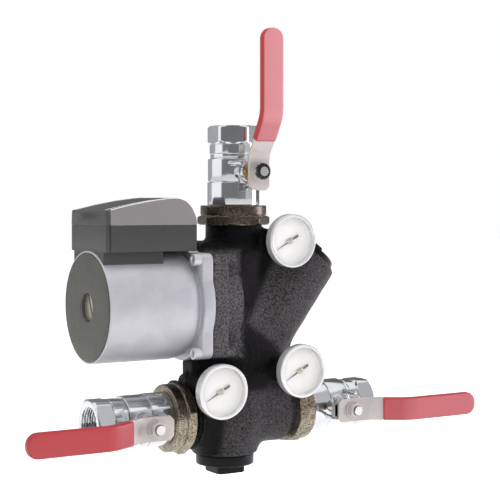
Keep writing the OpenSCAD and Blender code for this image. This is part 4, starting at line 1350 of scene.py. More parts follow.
    @staticmethod
    def _faces(
        inside: NDArray[np.bool_], number: NDArray[np.int64], axis: int
    ) -> NDArray[np.int64]:
        """Faces across the grid edges along one axis, turned to look outwards.

        Args:
            inside: which grid points lie in the metal.
            number: the point number of each cell, or -1.
            axis: the axis of the edges.

        Returns:
            n × 4 corner numbers.
        """
        metal, cells = np.moveaxis(inside, axis, 0), np.moveaxis(number, axis, 0)
        before, after = metal[:-1, 1:-1, 1:-1], metal[1:, 1:-1, 1:-1]
        crossed = before != after
        near, far = slice(None, -1), slice(1, None)
        around = ((near, near), (far, near), (far, far), (near, far))
        quad = np.stack([cells[:, first, second] for first, second in around], axis=-1)[crossed]
        leaving = before[crossed]
        forward = leaving if axis != 1 else ~leaving
        return np.where(forward[:, None], quad, quad[:, ::-1])

    def build(self, wardrobe: Wardrobe) -> None:
        """Makes the housing in place of its CAD node."""
        place = crossing_placement()
        low, high = (place.drawn(edge) for edge in extent("casting"))
        piece = finish_object("housing", self.mesh(low, high, place), CAST_CREASE)
        mark(piece, self.paleness(place.drawn(skin(piece)[0])))
        wardrobe.wear(piece, "cast_iron_black", ROOT, "casting")

    def paleness(self, points: Points) -> Points:
        """How much paler than the black each zone is: most on the pump's drum, least on the neck.

        Each zone is a smooth step 1 / (1 + exp(d / w)) of a distance d, and the largest counts.
        """
        x, z = points[:, 0], points[:, 2]
        aside, _, ahead = self.slant_axis
        along = x * aside + (z - self.slant_z) * ahead
        off_axis = np.abs(x * ahead - (z - self.slant_z) * aside)
        drum = np.maximum(x + 8.0, np.abs(z - self.pump_z) - 45.5)
        slanted = np.maximum(34.0 - along, off_axis - 31.0)
        lower = np.maximum(z - 22.0, -26.0 - x)
        zones = ((drum, 0.9), (slanted, 0.6), (lower, 0.55))
        blurred = [(np.clip(d / self.pale_blur, -30, 30), share) for d, share in zones]
        return np.max([share / (1 + np.exp(away)) for away, share in blurred], axis=0)


@dataclass(frozen=True)
class Plug:
    """A screwed plug with a round flange and a square for the spanner."""

    name: str
    node: str
    flange_len: float
    square: float
    square_len: float
    flange_r: float = 25.5
    thread_r: float = 20.85
    seal_len: float = 0.6
    shank: float = 14.0

    def patches(self) -> list[Patch]:
        """The flange with its shank, and the square with its corners turned down."""
        top = self.seal_len + self.flange_len
        flange = profile(
            (0, -self.shank), (self.thread_r, -self.shank, 1.0), (self.thread_r, self.seal_len),
            (self.flange_r, self.seal_len, 0.8), (self.flange_r, top, 1.4),
            (self.square / 2 + 2.5, top + 0.01, 1.0), (0, top),
        )
        reach, end = self.square / math.sqrt(2) - 1.2, top + self.square_len
        square = profile(
            (0, self.seal_len + 1), (reach, self.seal_len + 1), (reach, end, 1.2),
            (reach - 3, end, 0.5), (0, end),
        )
        return [turned(flange), flatted(square, 4, self.square / 2, count=160, soften=0.5)]

    def build(self, wardrobe: Wardrobe, place: Placement) -> None:
        """Makes the plug in place of its CAD node."""
        soften_edges(wardrobe.make(self.name, self.patches(), place, "plug_black", self.node), 0.4)


# ---------- circulator ----------


@dataclass(frozen=True)
class Motor:
    """The wet-rotor motor: square flange, drawn shell, rear disc and flange bolts."""

    flange_half: float = 44.4
    flange_corner: float = 6.0
    gasket: float = 0.8
    flange_end: float = 11.0
    cavity_r: float = 40.0
    neck_r: float = 42.5
    flange_round: float = 49.0
    shell_r: float = 47.0
    shell_round: float = 13.0
    length: float = 96.0
    cavity_end: float = 87.0
    disc_r: float = 45.4
    disc_t: float = 3.0
    disc_proud: float = 0.78
    vent_r: float = 11.9
    vent_seat: float = 90.5
    vent_hole: float = 7.05
    well_r: float = 12.3
    bolt_at: float = 39.2
    bolt_r: float = 2.95
    bolt_depth: float = 14.8
    head_r: float = 5.0
    head_len: float = 7.0
    socket_half: float = 2.5
    socket_deep: float = 3.5
    knurls: int = 24

    def flange(self) -> Patch:
        """The flange plate: the larger of a round plate and a square one, open in the middle.

        Along each direction the outline lies at max(R, distance to the rounded square),
        R being the round part's radius.
        """
        count = 240
        turn = circle(count)
        fold = np.sort(np.abs(np.stack([np.cos(turn), np.sin(turn)], axis=-1)), axis=1)
        flat = self.flange_half - self.flange_corner
        middle = flat * fold.sum(axis=1)
        beyond = np.maximum(middle**2 - 2 * flat**2 + self.flange_corner**2, 0.0)
        side_reach = self.flange_half / fold[:, 1]
        in_corner = side_reach * fold[:, 0] > flat
        square = np.where(in_corner, middle + np.sqrt(beyond), side_reach)
        reach = np.maximum(square, self.flange_round)
        low, high = self.gasket, self.flange_end
        levels = ((0.7, low), (0.0, low + 0.7), (0.0, high - 1.4), (0.4, high - 0.4), (1.4, high))
        rows = [reach - inset for inset, _ in levels] + [np.full(count, self.cavity_r)] * 2
        height = np.array([z for _, z in levels] + [high, low])
        return polar(np.stack(rows), height[:, None], count, closed=True)

    def shell(self) -> Patch:
        """The shell: a neck that rounds out to the full radius, and a rolled rear rim."""
        angle = np.linspace(0.0, np.pi / 2, 14)
        outwards = self.neck_r + (self.shell_r - self.neck_r) * np.sin(angle)
        onwards = self.flange_end + 2 + self.shell_round * (1 - np.cos(angle))
        round_out = np.stack([outwards, onwards], axis=-1)
        recess_r, recess_at = self.disc_r + 0.15, self.length - self.disc_t
        rear = profile(
            (self.shell_r, 30.0), (self.shell_r, self.length, 1.3), (recess_r, self.length, 0.3),
            (recess_r, recess_at), (self.vent_r, recess_at), (self.vent_r, self.vent_seat),
            (self.vent_hole, self.vent_seat), (self.vent_hole, self.cavity_end),
            (self.cavity_r, self.cavity_end), (self.cavity_r, self.flange_end - 3),
            (self.neck_r, self.flange_end - 3), (self.neck_r, self.flange_end + 1),
        )
        return turned(np.concatenate([round_out, rear]), 160, closed=True)

    def disc(self) -> Patch:
        """The rear disc, its rim eased and its middle open for the vent screw."""
        low, high = self.length - self.disc_t, self.length + self.disc_proud
        outline = profile(
            (self.vent_r, self.vent_seat), (self.well_r, self.vent_seat), (self.well_r, low),
            (self.disc_r, low), (self.disc_r, high, 1.1), (self.well_r + 0.4, high, 0.4),
            (self.vent_r, high - 0.9),
        )
        return turned(outline, 144, closed=True)

    def bolts(self) -> list[Patch]:
        """Four socket screws: a knurled head with an eased rim and a six-sided socket."""
        seat, count = self.flange_end, 72
        top = seat + self.head_len
        shank = profile(
            (0, -self.bolt_depth), (self.bolt_r, -self.bolt_depth, 0.5), (self.bolt_r, seat),
            (self.head_r, seat, 0.3), (self.head_r, top, 0.8), (self.socket_half + 0.9, top),
            (self.socket_half + 0.4, top - 0.6),
        )
        theta = circle(count)
        socket = self.socket_half / np.cos(from_flat(theta, 6))
        knurl = 1 + 0.012 * np.sign(np.sin(theta * self.knurls))
        outer = shank[:, :1] * np.where(shank[:, :1] > self.head_r - 0.4, knurl[None], 1.0)
        radius = np.concatenate([outer, np.stack([socket, socket, 0.0 * socket])])
        floor = top - self.socket_deep
        depth = np.concatenate([shank[:, 1], [top - 0.9, floor, floor - 0.2]])
        bolt, sides = polar(radius, depth[:, None], count), (-self.bolt_at, self.bolt_at)
        return [bolt.shifted(spot(x, y, 0.0)) for x in sides for y in sides]

    def build(self, wardrobe: Wardrobe) -> None:
        """Makes the motor's shell, disc and bolts in place of their CAD nodes."""
        place = pump_placement()
        shell = [self.shell(), self.flange()]
        wardrobe.make("motor_shell", shell, place, "motor_aluminium", "motor_housing")
        wardrobe.make("rear_disc", [self.disc()], place, "disc_grey", "end_disc")
        wardrobe.make("flange_bolts", self.bolts(), place, "stainless", "pump_bolts")


@dataclass(frozen=True)
class TerminalBox:
    """The box on the motor: a base with a saddle, an arched lid with rims, and a cable gland."""

    half: float = 36.0
    near: float = 11.5
    rear: float = 95.0
    floor: float = 46.4
    split: float = 68.5
    motor_r: float = 47.1
    saddle_from: float = 41.0
    saddle_half: float = 30.0
    lean: float = 1.6
    rim: float = 1.8
    channel_deep: float = 5.0
    channel_wide: float = 7.0
    end_wall: float = 3.4
    groove_half: float = 0.55
    groove_deep: float = 1.1
    gland_from_rear: float = 24.0
    gland_up: float = 10.0
    gland_bore: float = 4.0
    dome_r: float = 8.8
    lid_line: tuple[tuple[float, float], ...] = (
        (11.5, 71.5), (13, 77.5), (16.5, 84.4), (22, 89.4), (29.5, 91.4), (37.5, 90.9),
        (53.5, 89), (71.5, 85.8), (82.5, 83.4), (95, 80.5),
    )

    def groove(self, distance: Points) -> Points:
        """Depth of the upright groove beside the end wall, a smooth step down and up again."""
        away = np.abs(distance - (self.rear - self.end_wall))
        slope = 0.3
        share = np.clip((self.groove_half + slope - away) / slope, 0.0, 1.0)
        return self.groove_deep * smooth(share)

    def base(self) -> list[Patch]:
        """The base's walls as a stack of rounded rectangles, grooved beside the end wall."""
        middle, half_len = (self.near + self.rear) / 2, (self.rear - self.near) / 2
        loop, spans = rounded_rectangle(half_len, self.half, 1.6, 8), 120
        share = np.linspace(0.0, 1.0, spans, endpoint=False)[None, :, None]
        ahead = (np.roll(loop, -1, axis=0) - loop)[:, None]
        keep = np.ones((len(loop), spans), dtype=bool)
        keep[np.linalg.norm(ahead[:, 0], axis=1) < 1.0, 1:] = False
        dense = (loop[:, None] + ahead * share).reshape(-1, 2)[keep.reshape(-1)]
        distance = dense[:, 0] + middle
        side = np.abs(dense[:, 1]) > self.half - 0.01
        depth = dense[:, 1] - np.sign(dense[:, 1]) * np.where(side, self.groove(distance), 0.0)
        outline = np.stack([distance, depth], axis=-1)
        low, high = self.floor, self.split
        levels = np.array([
            (1.0, low), (0.3, low + 0.3), (0.0, low + 1.0), (0.0, high - 0.3), (0.2, high - 0.1),
            (0.2, high),
        ])
        toward = np.array([middle, 0.0]) - outline
        toward /= np.linalg.norm(toward, axis=1, keepdims=True)
        rows = outline[None] + levels[:, :1, None] * toward[None]
        return [stacked(rows, levels[:, 1]), *self._saddle()]

    def _saddle(self) -> list[Patch]:
        """The saddle: a bent brick whose underside follows sqrt(R² - y²) over the motor."""
        y = np.linspace(-self.saddle_half, self.saddle_half, 49)
        under = np.sqrt(self.motor_r**2 - y**2)
        top = np.full_like(y, self.floor + 1.6)
        heights = np.stack([under, np.maximum(top, under + 0.5)])
        ends = np.array([self.saddle_from, self.rear - 0.1])[:, None, None]
        parts = np.broadcast_arrays(ends, y[None, None, :], heights[None])
        return brick_faces(np.stack(parts, axis=-1))

    def lid(self) -> Patch:
        """The lid: cross-sections along the box whose height follows the arch.

        Each section runs up a leaning side, over a rounded rim, through a channel beside the
        rim, over the raised middle and back down the far side. The channel widens from the
        arch's peak towards the end wall and stops short of it.
        """
        line = filleted(np.array(self.lid_line, dtype=float), 4.0, 6)
        line[:, 0] = np.clip(line[:, 0], self.near, self.rear)
        wall_from = self.rear - self.end_wall
        station = np.unique(
            np.concatenate([
                np.linspace(self.near, self.rear, 90),
                self.near + 8 * (1 - np.cos(np.linspace(0, np.pi / 2, 16))),
                wall_from + np.linspace(-1.4, 1.4, 17),
                self.rear - 1.2 * (1 - np.cos(np.linspace(0, np.pi / 2, 6))),
            ])
        )
        groove = self.groove(station)
        end = np.clip((self.rear - station) / 0.8, 0.0, 1.0)
        top = np.interp(station, line[:, 0], line[:, 1])
        top = top - 0.6 * (1 - np.sqrt(1 - (1 - end) ** 2)) - groove
        start = np.clip((station - self.near) / 1.2, 0.0, 1.0)
        narrow = 0.9 * (1 - np.sqrt(1 - (1 - np.minimum(start, end)) ** 2)) + groove
        low = self.split + 0.02
        rise = (top - low) / (max(p[1] for p in self.lid_line) - low)
        foot = self.half - 0.05 - narrow
        inner = foot - self.lean * rise - self.rim
        peak = self.near + 14.0
        widening = np.clip((station - peak) / (wall_from - peak), 0.0, 1.0)
        open_top = np.clip((wall_from - 0.4 - station) / 0.6, 0.0, 1.0)
        open_top = open_top * np.clip(widening * 12.0, 0.0, 1.0)
        floor = top - self.channel_deep * open_top
        far = inner - 0.9 - self.channel_wide * widening
        foot_up = np.full_like(station, low)
        half_section = [
            (foot, foot_up), (foot - 0.05, foot_up + 0.5), (inner + self.rim, top), (inner, top),
            (inner - 0.3, floor), (far, floor), (far - 0.6, top - 0.1 * open_top),
        ]
        other_half = [(-across, up) for across, up in reversed(half_section)]
        pairs = [np.stack(pair, axis=-1) for pair in half_section + other_half]
        setback = np.array([0.1, 0.2, 0.9, 0.4, 0.3, 0.3, 0.5])
        setback = np.concatenate([setback, setback[::-1]])
        section = filleted(np.stack(pairs, axis=1), setback, 3, closed=True)
        distance = np.broadcast_to(station[:, None, None], (*section.shape[:2], 1))
        return lofted(np.concatenate([distance, section], axis=-1))

    def gland(self) -> list[Patch]:
        """The cable gland: a six-sided foot and a ribbed dome nut with an open bore."""
        bore = self.gland_bore
        foot = profile(
            (bore, -1.5), (7.6, -1.5), (7.6, 0.05), (10.6, 0.05, 0.3), (10.6, 5.6, 0.8), (bore, 5.7)
        )
        dome = profile(
            (bore, 5.0), (self.dome_r, 5.0), (self.dome_r, 13.6, 1.6), (7.2, 15.6, 1.2),
            (7.0, 17.4, 0.6), (bore + 0.6, 18.0, 0.3), (bore, 17.2),
        )
        nut = turned(dome, 96, closed=True)
        ribs = 1 + 0.02 * np.cos(16 * circle(96))
        high = nut.points[..., 2:] < 14.0
        wide = np.linalg.norm(nut.points[..., :2], axis=-1, keepdims=True) > 7.5
        nut.points[..., :2] *= np.where(high & wide, ribs[None, :, None], 1.0)
        return [flatted(foot, 6, 9.5, closed=True), nut]

    def paleness(self, lid: bpy.types.Object, place: Placement) -> Points:
        """The lid's side faces are pale, their rims a painted highlight, the channels a painted black shade, the
        rest plain.
        """
        points, normals = skin(lid)
        distance, across, height = place.drawn(points).T
        line = np.array(self.lid_line, dtype=float)
        depth = np.interp(distance, line[:, 0], line[:, 1]) - height
        # The channels get a painted shade.
        shaded_channel = (depth > 1.5) & (np.abs(across) < self.half - self.lean - self.rim)
        shaded_channel &= height > self.split + 1.0
        sideways, up = np.abs(normals @ place.y), normals @ place.z
        panel = (distance < self.rear - self.end_wall - self.groove_half) & (sideways > 0.25)
        # The rims get a painted highlight.
        rim = panel & (up > 0.2) & (sideways < 0.93)
        return np.where(shaded_channel, -1.0, panel * 1.0 + rim * 1.0)

    def build(self, wardrobe: Wardrobe) -> None:
        """Makes the base, lid and gland in place of their CAD nodes."""
        place, dark = box_placement(), "box_plastic"
        wardrobe.make(
            "terminal_base", self.base(), place, dark, "terminal_box", crease=FLAT_CREASE
        )
        lid = wardrobe.make(
            "terminal_cover", [self.lid()], place, "lid_plastic", "terminal_lid",
            crease=FLAT_CREASE,
        )
        mark(lid, self.paleness(lid, place))
        gland_at = spot(self.rear - self.gland_from_rear, self.half, self.floor + self.gland_up)
        outwards = Placement(place.metres(gland_at), X_AXIS, -Z_AXIS, Y_AXIS)
        wardrobe.make("cable_gland_nut", self.gland(), outwards, dark, "cable_gland")


# ---------- unions and valves ----------


@dataclass(frozen=True)
class UnionNut:
    """A union nut: a round collar in front and eight flats behind, with turned-down corners."""

    front_r: float = 29.1
    front_len: float = 9.1
    rear_r: float = 32.1
    length: float = 17.0
    turn: float = 14.3
    lip_len: float = 3.0
    lip_r: float = 20.2
    bore_r: float = 23.95

    def patch(self) -> Patch:
        """The nut's closed surface: the front collar isn't reached by the flats."""
        seam = -self.front_len
        outline = profile(
            (self.lip_r, -self.lip_len), (self.lip_r, 0.0, 0.3), (self.front_r, 0.0, 1.1),
            (self.front_r, seam + 0.9, 0.7), (self.front_r - 0.9, seam, 0.2),
            (self.rear_r - 2.4, seam, 0.4), (self.rear_r, seam - 1.5, 0.6),
            (self.rear_r, 1.3 - self.length, 0.6), (self.rear_r - 2.2, -self.length, 0.4),
            (self.bore_r, -self.length, 0.3), (self.bore_r, -self.lip_len),
        )
        apothem = self.rear_r * math.cos(math.pi / 8)
        return flatted(outline, 8, apothem, self.turn + 22.5, 256, closed=True, soften=0.35)


@dataclass(frozen=True)
class LeverNut:
    """The nut that holds a lever: a washer and six flats, or a toothed ring in front of them."""

    across: float = 13.0
    washer_r: float = 8.4
    height: float = 6.2
    bore_r: float = 4.05

    def plain(self) -> list[Patch]:
        """A washer with eased edges and a nut whose corners are turned down."""
        washer = profile(
            (self.bore_r, 0.0), (self.washer_r, 0.0, 0.4), (self.washer_r, 1.4, 0.5),
            (self.bore_r, 1.4),
        )
        half = self.across / 2
        nut = profile(
            (self.bore_r, 1.35), (half + 0.2, 1.35, 0.2), (half + 1.0, 1.9),
            (half + 1.0, self.height - 0.9), (half - 0.2, self.height, 0.3),
            (self.bore_r + 0.5, self.height, 0.2), (self.bore_r, self.height - 0.6),
        )
        flats = flatted(nut, 6, half, 30.0, 120, closed=True, soften=0.15)
        return [turned(washer, 72, closed=True), flats]

    def ring(self) -> Patch:
        """The toothed ring: radius R·(1 + 0.035·cos 22θ) on its rim, in front of the flats."""
        low, high = self.height - 2.4, self.height + 1.6
        rim = profile(
            (self.bore_r, low), (6.9, low, 0.3), (6.9, high - 0.7, 0.6), (5.4, high, 0.4),
            (4.7, high - 0.1, 0.3), (self.bore_r, high - 0.9),
        )
        count = 176
        patch = turned(rim, count, closed=True)
        reach = np.linalg.norm(patch.points[..., :2], axis=-1, keepdims=True)
        teeth = np.cos(22 * circle(count))[None, :, None]
        patch.points[..., :2] *= 1 + 0.035 * np.clip((reach - 5.4) / 1.5, 0, 1) * teeth
        return patch


@dataclass(frozen=True)
class BallValve:
    """A ball valve with its union end, body, mouth, gland nut and turning lever."""

    side: str
    toothed: bool = False
    lower_r: float = 22.9
    body_r: float = 22.4
    seam_at: float = 20.3
    seam_w: float = 0.9
    body_end: float = 41.0
    end_r: float = 20.9
    hex_at: float = 54.0
    length: float = 70.0
    hex_across: float = 41.0
    port_r: float = 15.15
    port_depth: float = 19.0
    way_r: float = 11.5
    stem_at: float = 29.2
    cavity_r: float = 17.8
    cavity_from: float = 14.7
    cavity_to: float = 43.7
    nose_r: float = 20.1
    joint_r: float = 19.45
    joint_at: float = 35.0
    stem_hole: float = 5.55
    packing_r: float = 7.05
    packing_at: float = 24.0
    boss_r: float = 10.5
    boss_top: float = 31.0
    gland_r: float = 9.2
    gland_top: float = 36.0
    thread_pitch: float = 2.309
    thread_deep: float = 1.35
    front_sheen: float = 0.5
    lever_w: float = 20.5
    lever_narrow: float = 8.0
    lever_len: float = 120.5
    bar_len: float = 114.5
    bar_low: float = 43.5
    bar_high: float = 64.75
    bar_t: float = 3.0
    holder_at: float = 45.0
    grip_half: float = 10.1
    grip_t: float = 7.5
    grip_round: float = 9.2
    facet_at: float = 232.0
    facet_deep: float = 0.75
    facet_mid: float = 31.2
    facet_half: float = 8.6
    stop_lugs: tuple[tuple[float, float], ...] = ((7.8, -12.9), (-12.9, 7.8))

    def body(self) -> list[Patch]:
        """The body's turned sections with their seam, its boss, and the two stop lugs."""
        c, collar_r = 0.7, self.cavity_r + 5.0
        seam_r, seam_end = self.body_r - 0.7, self.seam_at + self.seam_w
        outline = profile(
            (self.way_r, -6.0), (collar_r, -6.0, 0.4), (collar_r, -3.0), (self.nose_r, -3.0),
            (self.nose_r, 0.2), (self.lower_r, 0.2, c), (self.lower_r, 8.0),
            (self.lower_r, self.seam_at, c), (seam_r, self.seam_at, 0.1), (seam_r, seam_end, 0.1),
            (self.body_r, seam_end, c), (self.body_r, self.body_end, c + 0.3),
            (self.joint_r, self.body_end), (self.joint_r, self.joint_at),
            (self.cavity_r, self.joint_at), (self.cavity_r, self.cavity_from),
            (self.way_r, self.cavity_from),
        )
        shell = turned(outline, 160, closed=True)
        self._cut_facet(shell)
        neck_r, top = self.boss_r - 1.5, self.boss_top
        boss = profile(
            (self.stem_hole, 12.0), (self.boss_r, 12.0), (self.boss_r, 21.0, 2.0),
            (self.boss_r, top - 4, 0.8), (neck_r, top - 3.9, 0.3), (neck_r, top, 0.5),
            (self.packing_r, top), (self.packing_r, self.packing_at),
            (self.stem_hole, self.packing_at),
        )
        lug = profile((0, 15.0), (2.0, 15.0), (2.0, 37.0, 0.7), (0, 37.0))
        lugs = [self._fronted(turned(lug, 32), *at) for at in self.stop_lugs]
        return [shell, self._fronted(turned(boss, 96, closed=True)), *lugs]

    def _cut_facet(self, shell: Patch) -> None:
        """Presses a flat with rounded ends into the body's second section.

        Where the section passes the plane at distance d along the facet's direction, it is
        brought back to it: p - max(p·n - d, 0)·n, eased by a window along the valve.
        """
        turn = math.radians(self.facet_at)
        normal = spot(math.cos(turn), math.sin(turn), 0.0)
        height = shell.points[..., 2]
        outer = np.linalg.norm(shell.points[..., :2], axis=-1) > self.body_r - 0.4
        away = np.abs(height - self.facet_mid)
        window = np.clip((self.facet_half - away) / 0.8, 0.0, 1.0)
        excess = np.maximum(shell.points @ normal - (self.body_r - self.facet_deep), 0.0)
        shell.points -= (np.where(outer, window, 0.0) * excess)[..., None] * normal

    def _fronted(self, patch: Patch, across: float = 0.0, along: float = 0.0) -> Patch:
        """Turns a patch drawn along the stem into the valve's frame: (x, y, z) to (x, -z, y)."""
        x, y, z = np.moveaxis(patch.points, -1, 0)
        patch.points = np.stack([x + across, -z, y + self.stem_at + along], axis=-1)
        return patch

    def mouth(self) -> list[Patch]:
        """The end piece: neck, six flats and a mouth with a cut pipe thread.

        Inside the mouth the radius grows by 1.35 mm times a rounded saw of z / pitch - θ / 2π.
        """
        start, end_r, seam = self.length - self.port_depth, self.end_r, self.body_end + 0.4
        rim = self.hex_across / 2 + 2.27
        neck = profile(
            (self.cavity_r, self.joint_at), (19.4, self.joint_at), (19.4, seam),
            (end_r - 0.6, seam, 0.3), (end_r - 0.6, 45.0), (end_r, 45.4, 0.3),
            (end_r, self.hex_at - 0.7), (end_r - 0.6, self.hex_at - 0.1, 0.2),
        )
        hexagon = profile(
            (end_r - 0.2, self.hex_at, 0.2), (rim, self.hex_at + 1.6, 0.7),
            (rim, self.length - 1.6, 0.7), (end_r - 0.4, self.length, 0.4),
            (self.port_r + 1.9, self.length, 0.3),
        )
        rows = np.linspace(self.length - 0.5, start + 1.2, 64)
        bore = np.stack([np.full_like(rows, self.port_r), rows], axis=-1)
        inner = profile(
            (self.port_r, start, 0.4), (self.way_r, start, 0.5), (self.way_r, self.cavity_to),
            (self.cavity_r, self.cavity_to), (self.cavity_r, self.joint_at + 1),
        )
        outline, count = np.concatenate([neck, hexagon, bore, inner]), 192
        patch = flatted(outline, 6, self.hex_across / 2, 0.0, count, closed=True, soften=0.2)
        first, theta = len(neck) + len(hexagon), circle(count)
        phase = (rows[:, None] / self.thread_pitch - theta[None, :] / (2 * np.pi)) % 1.0
        saw = np.clip(1.3 * (1 - np.abs(2 * phase - 1)) - 0.15, 0.0, 1.0)
        fade = np.clip((rows - start - 3.0) / 3.0, 0.0, 1.0)[:, None]
        grown = self.port_r + self.thread_deep * fade * saw
        ring = np.stack([grown * np.cos(theta), grown * np.sin(theta)], axis=-1)
        patch.points[first : first + len(rows), :, :2] = ring
        return [patch]

    def gland_nut(self) -> Patch:
        """The packing nut under the lever, six flats with turned-down corners."""
        top, seat, bore, shank = self.gland_top, self.boss_top + 0.05, 4.1, self.packing_r - 0.1
        outline = profile(
            (bore, 26.9), (shank, 26.9), (shank, seat), (self.gland_r - 0.2, seat, 0.3),
            (self.gland_r - 0.1, top - 1.0), (self.gland_r - 1.3, top, 0.3), (bore, top),
        )
        apothem = self.gland_r * math.cos(math.pi / 6)
        return self._fronted(flatted(outline, 6, apothem, 30.0, 96, closed=True))

    def lever(self) -> list[Patch]:
        """The steel bar of the lever, bent outwards, with its stem end folded to the valve."""
        low, high = self.bar_low, self.bar_high
        corners = [(-16.0, low), (13.9, low), (45.9, high), (self.bar_len, high)]
        line = BentLine(np.array(corners), 5.0)
        total = float(line.reach()[-1])
        stations = np.concatenate([
            np.array([0.0, 0.25, 0.6]), np.linspace(1.0, 3.6, 6), np.linspace(5.0, 44.0, 30),
            np.linspace(44.5, 48.0, 8), np.linspace(50.0, total - 6.0, 30),
        ])
        half = self.lever_w / 2
        cut = 3.5 * np.clip(1 - stations / 3.5, 0.0, 1.0)
        step = smooth(np.clip((stations - 44.5) / 3.0, 0.0, 1.0))
        width = half - cut - (half - self.lever_narrow) * step
        thick = np.full(len(stations), self.bar_t / 2)
        tabs = brick((-5.2, -16.0, 34.0), (5.2, -13.5, 43.0))
        tabs += brick((-7.75, -16.0, 39.0), (7.75, -13.5, 43.0))
        return [Strip(line, 0.7, stations, width, thick).patch(), *tabs]

    def grip(self) -> Patch:
        """The dipped vinyl sleeve over the lever, with a round tip and eased edges."""
        high = self.bar_high
        line = BentLine(np.array([(27.0, 52.35), (47.25, high), (self.lever_len, high)]), 7.5)
        total = float(line.reach()[-1])
        tip, loss = rounded_end(total, self.grip_round, 18)
        head, head_loss = np.array([0.0, 0.15, 0.5, 1.1]), np.array([0.7, 0.35, 0.1, 0.0])
        stations = np.concatenate([head, np.linspace(2.0, tip[0] - 0.5, 60), tip])
        width = np.full(len(stations), self.grip_half)
        thick = np.full(len(stations), self.grip_t / 2)
        for sizes, tip_loss in ((width, loss), (thick, 1.2 * (loss / loss[-1]) ** 2.2)):
            sizes[: len(head)] -= head_loss
            sizes[-len(tip) :] -= tip_loss
        return Strip(line, 2.2, stations, width, thick).patch()

    def build(self, wardrobe: Wardrobe) -> None:
        """Makes the valve's pieces and puts the lever's on the body that turns."""
        place, side = valve_placement(self.side), self.side
        handle, turning = place.to_front(self.stem_at), f"{side}_handle"
        holder, nut = handle.moved(0.0, 0.0, self.holder_at), LeverNut()
        chrome, steel, root = "valve_chrome", "lever_steel", ROOT
        table = (
            ("body_shell", self.body(), place, chrome, "valve_body", root, FINE_CREASE),
            ("mouth", self.mouth(), place, chrome, "valve_end", root, FINE_CREASE),
            ("lever_bar", self.lever(), handle, steel, "lever", turning, CREASE),
            ("grip_sleeve", [self.grip()], handle, "grip_red", "grip", turning, SOFT_CREASE),
            ("lever_holder", nut.plain(), holder, steel, "lever_nut", turning, FINE_CREASE),
        )
        for name, patches, at, slot, node, body, crease in table:
            piece = wardrobe.make(
                f"{side}_{name}", patches, at, slot, f"{side}_{node}", body, crease
            )
            if node == "grip":
                # Painted sheen: the faces that look to the front get the pale tone.
                outwards = np.clip(-skin(piece)[1][:, 1], 0.0, 1.0)
                mark(piece, self.front_sheen * np.clip((outwards - 0.55) / 0.4, 0.0, 1.0))
        if self.toothed:
            wardrobe.make(
                f"{side}_lock_ring", [nut.ring()], holder, "dark_steel",
                body=turning, crease=FINE_CREASE,
            )


@dataclass(frozen=True)
class Unions:
    """The three union nuts, and the packing nuts of the three valves."""

    valves: tuple[BallValve, ...]

    def build(self, wardrobe: Wardrobe) -> None:
        """Makes both sets, each as one piece like its CAD node."""
        places = [valve_placement(valve.side) for valve in self.valves]
        nuts = wardrobe.make(
            "union_nut_set", [UnionNut().patch()], places, "union_nickel", "union_nuts",
            crease=FLAT_CREASE,
        )
        points, normals = skin(nuts)
        aside = 0.04  # metres from the riser past which a nut is a side one
        # Painted dark reflection: the top nut is darkened all over, the left one where it looks up, the right one
        # hardly
        looks_up = np.clip(1.1 * normals[:, 2] + 0.1, 0.0, 1.0)
        dark_reflection = np.where(points[:, 0] < -aside, looks_up, 0.0)
        mark(nuts, np.where(np.abs(points[:, 0]) < aside, 0.7, dark_reflection))
        glands = [self.valves[0].gland_nut()]
        wardrobe.make("packing_nuts", glands, places, "brass", "gland_nuts", crease=FINE_CREASE)


# ---------- thermometers ----------


